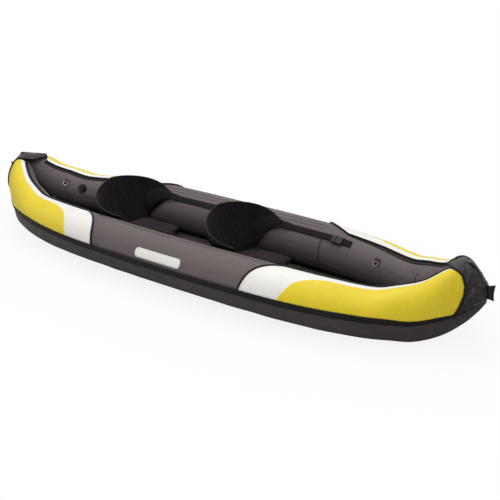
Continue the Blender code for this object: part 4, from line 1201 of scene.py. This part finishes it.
class KAYAK_OT_pads(bpy.types.Operator):
    """Stuff the seat pads, with a welt round each and its ring's tab ahead"""
    bl_idname = "kayak.pads"
    bl_label = "Seat pads"

    def execute(self, context):
        for label, seat in SEATS:
            low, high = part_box(f"{label}_seat_pad")
            ahead = seat + PAD_FRONT
            self.add_pad(label, low, Vector((ahead, high[1], high[2])))
            self.add_tab(label, ahead, (high[0] - ahead) / 2, low[2] + 0.020)
            refinish("steel", f"{label}_pad_ring")
        return {"FINISHED"}

    def outline(self, low, high, turn, shrink):
        """A point round the pad's plan, a rounded rectangle whose sides draw in."""
        draw = 1 - PAD_DRAW * math.cos(2 * turn) ** 2
        point = []
        for axis, wave in enumerate((math.cos(turn), math.sin(turn))):
            half = (high[axis] - low[axis]) / 2 - shrink
            out = math.copysign(abs(wave) ** PAD_SQUARENESS, wave)
            point.append((low[axis] + high[axis]) / 2 + half * out * draw)
        return point

    def add_pad(self, label, low, high):
        base, top = low[2] + 0.0005, high[2] - 0.003
        middle_x = (low[0] + high[0]) / 2

        def place(u, v):
            swing = math.pi * (v - 0.5)
            size = abs(math.cos(swing)) ** 0.30 if 0 < v < 1 else 0.0
            x, y = self.outline(low, high, math.tau * u, 0.005)
            rise = math.copysign(abs(math.sin(swing)) ** 0.42, math.sin(swing))
            return Vector((middle_x + (x - middle_x) * size, y * size,
                           (base + top) / 2 + (top - base) / 2 * rise))

        bm = grid(96, 28, place, (1.2, 0.1), True)
        face_out(bm)
        pad = piece(f"{label}_pad", bm, "pad")
        settle(pad, low[2] + 0.0003)
        self.finish(pad, low, high)
        self.add_welt(label, low, high)
        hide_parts(f"{label}_seat_pad")

    def finish(self, pad, low, high):
        """Crease the cloth, keep the pad in its place, and smooth it once."""
        seed = sum(ord(letter) for letter in pad.name) % 17
        bm = bmesh.new()
        bm.from_mesh(pad.data)
        bmesh.ops.remove_doubles(bm, verts=bm.verts, dist=1e-6)
        face_out(bm)
        for vertex in bm.verts:
            point = vertex.co
            sag = ripple(point.x, point.y, 0, PAD_SAG, seed)
            point.z += sag * clamp((point.z - low[2] - 0.006) / 0.02)
            point.x = min(point.x, high[0])
            point.z = max(point.z, low[2] + 0.0003)
        for face in bm.faces:
            face.smooth = True
        bm.to_mesh(pad.data)
        bm.free()
        if not pad.data.materials:
            pad.data.materials.append(material_for("pad"))
        soft = pad.modifiers.new("Soft", "SUBSURF")
        soft.levels = 1
        soft.render_levels = 1

    def add_welt(self, label, low, high):
        """A cord round the pad, where its top and side panels meet."""
        points = []
        for i in range(120):
            x, y = self.outline(low, high, math.tau * i / 120, 0.0045)
            z = high[2] - 0.0115 + ripple(x, y, 0, WELT_WANDER)
            points.append(Vector((x, y, z)))
        piece(f"{label}_pad_welt", tube_sheet(points, 0.0024, 8, True), "piping", "seat_cloth")

    def add_tab(self, label, ahead, reach, height):
        """A loop of webbing sewn into the pad's front edge, round its ring."""
        low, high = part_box(f"{label}_pad_ring")
        middle = Vector((ahead + reach, (low[1] + high[1]) / 2, height))
        radius = reach - 0.0009
        sewn = 0.12

        def place(u, v):
            turn = math.pi * (1.35 * u - 0.675)
            across = 0.0042 * (2 * v - 1)
            if sewn <= u <= 1 - sewn:
                return middle + Vector((radius * math.cos(turn), across,
                                        radius * math.sin(turn)))
            back = (sewn - min(u, 1 - u)) / sewn
            sign = -1 if u < sewn else 1
            return middle + Vector((-0.016 * back - 0.002, across, sign * radius * 0.5))

        bm = grid(30, 4, place, (0.05, 0.0084))
        face_out(bm, middle)
        piece(f"{label}_pad_tab", bm, "webbing", "webbing", thickness=0.0014)


def back_point(seat, share, height):
    """Point of a backrest's middle surface, from its foot (0) to its rim (1)."""
    side = 1 if share > 0 else -1
    spread = abs(share)
    turn = math.radians(BACK_WRAP * share)
    top = BACK_TOP - BACK_DROP * spread ** 1.3
    ahead = BACK_SET + BACK_DEPTH * (1 - math.cos(turn)) - BACK_LEAN * (top - BACK_HINGE)
    rim = Vector((seat + ahead, BACK_HALF_WIDTH * math.sin(turn), top))
    tip = skin_frame(side, seat + WING_REACH, STRAP_ANGLE, WING_LIFT)
    ends = sorted((tip @ Vector((0, way * 0.018, 0)) for way in (-1, 1)), key=lambda p: p.z)
    last = (1.0, ends[0].x - seat, abs(ends[0].y), ends[0].z - BACK_HINGE)
    table = (*BACK_FOOT, last)
    i = next(k for k in range(len(table) - 1) if spread <= table[k + 1][0] + 1e-9)
    part = (spread - table[i][0]) / (table[i + 1][0] - table[i][0])
    forward, out, up = [lerp(table[i][k], table[i + 1][k], part) for k in (1, 2, 3)]
    foot = Vector((seat + forward, side * out, BACK_HINGE + up))
    rim = rim.lerp(ends[1], ease((spread - 0.75) / 0.25))
    point = foot.lerp(rim, height)
    point.x -= BACK_BULGE * math.sin(math.pi * height) * math.cos(math.pi / 2 * share)
    return clear_of_tube(point, BACK_CLEAR)


def clear_of_tube(point, gap):
    """Push a point out of a side tube, to a gap from it."""
    station = Station.at(point.x)
    side = 1 if point.y > 0 else -1
    across = (abs(point.y) - station.y) / (station.half_width + gap)
    up = (point.z - station.z) / (station.half_height + gap)
    distance = math.hypot(across, up)
    if distance >= 1:
        return point
    return Vector((point.x, side * (station.y + (abs(point.y) - station.y) / distance),
                   station.z + (point.z - station.z) / distance))


class KAYAK_OT_backs(bpy.types.Operator):
    """Sew the padded fan backrests, pleated from the foot and bound along the rim"""
    bl_idname = "kayak.backs"
    bl_label = "Backrests"

    def execute(self, context):
        for label, seat in SEATS:
            body = f"{label}_back"
            spots = {}

            def middle(share, height):
                key = (round(share, 5), round(height, 5))
                if key not in spots:
                    spots[key] = back_point(seat, *key)
                return spots[key]

            def place(u, v):
                share = 2 * u - 1
                front = v < 0.5
                height = 2 * v if front else 2 - 2 * v
                height = 0.5 - 0.5 * math.cos(math.pi * height)
                step = 0.006
                a, b = clamp(share - step, -1, 1), clamp(share + step, -1, 1)
                low, high = clamp(height - step), clamp(height + step)
                along = middle(b, height) - middle(a, height)
                up = middle(share, high) - middle(share, low)
                normal = along.cross(up).normalized()
                swell = math.sqrt(max(0.0, math.sin(math.pi * height)))
                thickness = lerp(*BACK_THICKNESS, swell * (1 - abs(share) ** 8))
                point = middle(share, height)
                wander = 1.3 * noise.noise(Vector((share * 3, height * 1.5, seat)))
                pleat = abs(math.sin(math.pi * (share * BACK_PLEATS + wander))) ** 0.7 - 0.6
                patches = noise.noise(Vector((share * 2.2, seat, 4)))
                strong = 0.35 + 0.65 * clamp(0.55 - share + patches)
                crease = BACK_PLEAT_DEPTH * pleat * strong * swell
                crease += 0.0016 * noise.noise(Vector((share * 34, height * 2.2, seat + 2)))
                crumple = ripple(point.x, point.y, point.z, BACK_CRUMPLE, seat)
                rise = thickness / 2 + (crease + crumple) * clamp(swell * 1.4)
                return point + normal * (rise if front else -rise)

            bm = grid(220, 64, place, (0.8, 0.5), True)
            close_ends(bm)
            face_out(bm)
            back = piece(f"{label}_fan", bm, "back", "seat_cloth", f"{label}_backrest", body)
            for edge, height, radius in (("rim", 1.0, 0.0036), ("foot", 0.0, 0.003)):
                route = [middle(2 * i / 120 - 1, height) for i in range(121)]
                piece(f"{label}_fan_{edge}", tube_sheet(route, radius, 10), "piping",
                      "seat_cloth", body=body)
        return {"FINISHED"}


# Straps and fittings

def ribbon(name, stops, width, side, **options):
    """Webbing through stops, each a station and a lift over the cover."""
    places = []
    for (x0, lift0), (x1, lift1) in zip(stops, stops[1:]):
        parts = max(2, round((x1 - x0) / 0.006))
        places += [(lerp(x0, x1, i / parts), lerp(lift0, lift1, ease(i / parts)))
                   for i in range(parts)]
    places.append(stops[-1])
    count = len(places) - 1

    def place(u, v):
        x, lift = places[round(u * count)]
        across = 2 * v - 1
        turn = Station.at(x).degrees(width / 2 * across)
        lift += ripple(x, across * 0.02, side, WEBBING_WAVE, 3.0) - 0.0004 * across * across
        return skin(side, x, STRAP_ANGLE - turn, lift)

    bm = grid(count, 8, place, (places[-1][0] - places[0][0], width))
    outward(bm, side)
    return piece(name, bm, "webbing", thickness=0.0022, offset=0.0, **options)


class KAYAK_OT_straps(bpy.types.Operator):
    """Run the seat straps from the backrests to their buckles"""
    bl_idname = "kayak.straps"
    bl_label = "Straps and buckles"

    def execute(self, context):
        width = context.scene.kayak_finish.strap_width
        for seat_label, seat in SEATS:
            for label, side in SIDES:
                self.add_strap(f"{seat_label}_{label}", side, seat + WING_REACH - 0.03, width,
                               f"{seat_label}_back")
        return {"FINISHED"}

    def add_strap(self, name, side, start, width, back):
        """A strap to its plug, the plug's own webbing, and the anchor ahead of the socket."""
        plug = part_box(f"{name}_buckle_plug")[0][0]
        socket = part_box(f"{name}_buckle_socket")[1][0]
        slack = plug - PLUG_TRAVEL
        ribbon(f"{name}_plug_webbing",
               [(slack - 0.014, 0.0056), (plug - 0.012, 0.0062), (plug + 0.004, BUCKLE_LIFT)],
               width * 0.96, side, slot="webbing", body=f"{name}_plug")
        stops = [(start, WING_LIFT), (start + 0.045, WING_LIFT - 0.001), (start + 0.10, 0.0032),
                 (slack - 0.010, STRAP_LIFT), (slack - 0.003, STRAP_LIFT)]
        strap = ribbon(f"{name}_webbing", stops, width, side, body=None)
        bake(strap)
        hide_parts(f"{name}_strap")
        a = skin(side, start, STRAP_ANGLE, WING_LIFT)
        b = skin(side, slack - 0.018, STRAP_ANGLE, 0.004)
        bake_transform(strap)
        ribbon(f"{name}_anchor",
               [(socket - 0.004, BUCKLE_LIFT), (socket + 0.014, 0.0032),
                (socket + 0.050, 0.0026)], width, side, slot="webbing", node=f"{name}_strap_anchor")
        refinish("plastic", f"{name}_buckle_socket", f"{name}_buckle_plug")


class KAYAK_OT_fittings(bpy.types.Operator):
    """Finish the valves and sew the ring patches"""
    bl_idname = "kayak.fittings"
    bl_label = "Valves and rings"

    def execute(self, context):
        for label in dict(SIDES):
            refinish("plastic", *(f"{label}_valve_{part}" for part in ("body", "collar", "cap")))
        for label, place_x in RING_PLACES:
            self.add_patch(label, place_x)
            self.add_loop(label, skin_frame(1, place_x, RING_ANGLE))
            refinish("steel", f"{label}_d_ring")
        return {"FINISHED"}

    def add_patch(self, label, place_x):
        """A patch with round corners, on the port cover."""
        station = Station.at(place_x)

        def place(u, v):
            a, b = 2 * u - 1, 2 * v - 1
            x = a * math.sqrt(1 - b * b * 0.32)
            y = b * math.sqrt(1 - a * a * 0.32)
            near = 1 - max(abs(a), abs(b))
            lift = 0.0017 * clamp(near / 0.12) - 0.0002 + ripple(a, b, 0, PATCH_WAVE)
            return skin(1, place_x + PATCH_HALF * x,
                        RING_ANGLE + station.degrees(PATCH_HALF * y), lift)

        bm = grid(18, 18, place, (2 * PATCH_HALF, 2 * PATCH_HALF))
        outward(bm, 1)
        piece(f"{label}_ring_base", bm, "vinyl", "black_vinyl", f"{label}_ring_patch",
              thickness=0.0012)

    def add_loop(self, label, at_ring):
        """The loop that holds a ring on its patch."""
        def place(u, v):
            turn = math.pi * u
            return at_ring @ Vector((0.005 * (2 * v - 1), 0.0075 * math.cos(turn),
                                     0.0006 + 0.0074 * math.sin(turn) ** 0.8))

        bm = grid(20, 5, place, (0.02, 0.01))
        face_out(bm, at_ring.translation)
        piece(f"{label}_ring_loop", bm, "vinyl", "black_vinyl", thickness=0.0012)


# Stage

class KAYAK_OT_stage(bpy.types.Operator):
    """Set the pale floor, the soft lamps and the camera"""
    bl_idname = "kayak.stage"
    bl_label = "Stage"

    def execute(self, context):
        scene = context.scene
        scene.view_settings.view_transform = "Standard"
        self.add_camera(scene)
        self.add_floor()
        self.add_world(scene)
        for name, place, target, size in LAMPS:
            lamp = self.add_object(f"{name}_lamp", bpy.data.lights.new(f"{name}_lamp", "AREA"))
            lamp.data.shape = "DISK"
            lamp.data.size = size
            lamp.data.energy = getattr(scene.kayak_light, name)
            aim = (Vector(target) - Vector(place)).to_track_quat("-Z", "Y")
            lamp.matrix_world = Matrix.Translation(place) @ aim.to_matrix().to_4x4()
        return {"FINISHED"}

    def add_object(self, name, data):
        obj = bpy.data.objects.new(name, data)
        bpy.context.scene.collection.objects.link(obj)
        return obj

    def add_camera(self, scene):
        camera = self.add_object("camera", bpy.data.cameras.new("camera"))
        camera.data.lens = CAMERA_LENS
        camera.data.sensor_width = 36.0
        forward = Vector(CAMERA_FORWARD).normalized()
        right = forward.cross(Vector((0, 0, 1))).normalized()
        turned = Matrix((right, right.cross(forward), -forward)).transposed().to_4x4()
        turned.translation = scene.kayak_light.camera_place
        camera.matrix_world = turned
        scene.camera = camera

    def add_floor(self):
        """A floor that is white to the camera, but for the object's shadow near it."""
        bm = bmesh.new()
        bmesh.ops.create_grid(bm, x_segments=8, y_segments=8, size=30)
        mesh = bpy.data.meshes.new("studio_floor")
        bm.to_mesh(mesh)
        bm.free()
        floor = self.add_object("studio_floor", mesh)
        material = bpy.data.materials.new("studio_floor")
        material.use_nodes = True
        tree = material.node_tree
        tree.nodes.clear()
        diffuse = add_node(tree, "BsdfDiffuse", {"Color": FLOOR_GREY})
        glow = add_node(tree, "Emission", {"Color": WHITE})
        place = add_node(tree, "TexCoord").outputs["Object"]
        stretch = add_node(tree, "Mapping", {"Vector": place, "Scale": (0.5, 1.0, 1.0)})
        away = add_node(tree, "VectorMath", {0: stretch.outputs[0]}, operation="LENGTH")
        fade = add_node(tree, "MapRange", {"Value": away.outputs["Value"], **FLOOR_GLOW},
                        interpolation_type="SMOOTHSTEP")
        ray = add_node(tree, "LightPath").outputs["Is Camera Ray"]
        share = add_node(tree, "Math", {0: ray, 1: fade.outputs[0]}, operation="MULTIPLY")
        blend = add_node(tree, "MixShader", {0: share.outputs[0], 1: diffuse.outputs[0],
                                             2: glow.outputs[0]})
        add_node(tree, "OutputMaterial", {"Surface": blend.outputs[0]})
        mesh.materials.append(material)

    def add_world(self, scene):
        """Soft light from all round, in a world that is white where it is seen."""
        world = bpy.data.worlds.new("studio")
        world.use_nodes = True
        tree = world.node_tree
        tree.nodes.clear()
        soft, white = (add_node(tree, "Background", {"Color": WHITE, "Strength": strength})
                       for strength in (scene.kayak_light.ambient, 1.0))
        rays = add_node(tree, "LightPath").outputs
        seen = rays["Is Camera Ray"]
        for name in ("Is Glossy Ray", "Is Transmission Ray"):
            seen = add_node(tree, "Math", {0: seen, 1: rays[name]},
                            operation="MAXIMUM").outputs[0]
        blend = add_node(tree, "MixShader", {0: seen, 1: soft.outputs[0], 2: white.outputs[0]})
        add_node(tree, "OutputWorld", {"Surface": blend.outputs[0]})
        scene.world = world


# Settings

def colour_property(name, text, default):
    return bpy.props.FloatVectorProperty(name=name, description=text, subtype="COLOR", size=3,
                                         min=0.0, max=1.0, default=linear(*default))


def length_property(name, text, default):
    return bpy.props.FloatProperty(name=name, description=text, default=default, unit="LENGTH",
                                   min=0.0005)


def power_property(name, default):
    return bpy.props.FloatProperty(name=name, description=f"Power of the {name.lower()} lamp",
                                   default=default, unit="POWER")


class KayakSizes(bpy.types.PropertyGroup):
    white_edge: length_property("White edge", "Station where the white panels start at the seam",
                                0.478)
    yellow_edge: length_property("Yellow edge", "Station where the yellow panels start at the seam",
                                 0.68)
    white_border: bpy.props.FloatProperty(
        name="White border", description="Turn round the tube between piping and yellow panel",
        default=18.0, min=2.0)
    valve_window: length_property("Valve window", "Radius of the hole in a cover round its valve",
                                  0.0275)
    floor_channels: bpy.props.IntProperty(
        name="Floor channels", description="Lengthwise channels in the air floor", default=5, min=1)


class KayakFinish(bpy.types.PropertyGroup):
    grey: colour_property("Grey cloth", "Middle of the covers", (100, 90, 90))
    yellow: colour_property("Yellow cloth", "End panels", (240, 214, 44))
    white: colour_property("White cloth", "Border of the end panels", (246, 245, 240))
    tarpaulin: colour_property("Tarpaulin", "Hull", (60, 54, 53))
    vinyl: colour_property("Black vinyl", "Nose covers, flaps and patches", (22, 17, 21))
    binding: colour_property("Binding", "Seam bands and piping", (18, 14, 16))
    seat: colour_property("Seat cloth", "Backrests, and pads in a lighter shade", (20, 16, 19))
    webbing: colour_property("Webbing", "Straps", (19, 15, 18))
    plastic: colour_property("Plastic", "Buckles and valves", (18, 16, 18))
    steel: colour_property("Steel", "Rings", (176, 177, 180))
    film: colour_property("Film", "Air bladders", (120, 124, 128))
    floor_film: colour_property("Floor film", "Air floor", (38, 33, 37))
    band_width: length_property("Band width", "Width of the seam bands", SEAM_BAND)
    strap_width: length_property("Strap width", "Width of the straps", 0.036)
    label_length: length_property("Label length", "Length of the bare label", 0.30)
    label_height: length_property("Label height", "Height of the bare label", 0.052)
    label_border: length_property("Label border", "Width of the label's border", 0.005)


class KayakLight(bpy.types.PropertyGroup):
    key: power_property("Key", 62.0)
    top: power_property("Top", 150.0)
    side: power_property("Side", 16.0)
    ambient: bpy.props.FloatProperty(name="Ambient", description="Level of light from all round",
                                     default=0.19, min=0.0)
    camera_place: bpy.props.FloatVectorProperty(
        name="Camera place", description="Where the camera stands", subtype="TRANSLATION", size=3,
        default=(2.645, -3.482, 2.0325))


STEPS = (KAYAK_OT_stage, KAYAK_OT_hull, KAYAK_OT_covers, KAYAK_OT_panels, KAYAK_OT_seams,
         KAYAK_OT_noses, KAYAK_OT_floor, KAYAK_OT_pads, KAYAK_OT_backs, KAYAK_OT_straps,
         KAYAK_OT_fittings)


class KAYAK_PT_panel(bpy.types.Panel):
    """Kayak settings"""
    bl_idname = "KAYAK_PT_panel"
    bl_label = "Kayak"
    bl_space_type = "VIEW_3D"
    bl_region_type = "UI"
    bl_category = "Kayak"

    def draw(self, context):
        layout = self.layout
        for group in (context.scene.kayak_sizes, context.scene.kayak_finish,
                      context.scene.kayak_light):
            box = layout.box()
            for name in group.__annotations__:
                box.prop(group, name)
        for step in STEPS:
            layout.operator(step.bl_idname)


CLASSES = (KayakSizes, KayakFinish, KayakLight, *STEPS, KAYAK_PT_panel)


def register():
    for item in CLASSES:
        bpy.utils.register_class(item)
    bpy.types.Scene.kayak_sizes = bpy.props.PointerProperty(type=KayakSizes)
    bpy.types.Scene.kayak_finish = bpy.props.PointerProperty(type=KayakFinish)
    bpy.types.Scene.kayak_light = bpy.props.PointerProperty(type=KayakLight)


def unregister():
    del bpy.types.Scene.kayak_light
    del bpy.types.Scene.kayak_finish
    del bpy.types.Scene.kayak_sizes
    for item in reversed(CLASSES):
        bpy.utils.unregister_class(item)


def main():
    register()
    for step in STEPS:
        group, name = step.bl_idname.split(".")
        getattr(getattr(bpy.ops, group), name)()


if __name__ == "__main__":
    main()
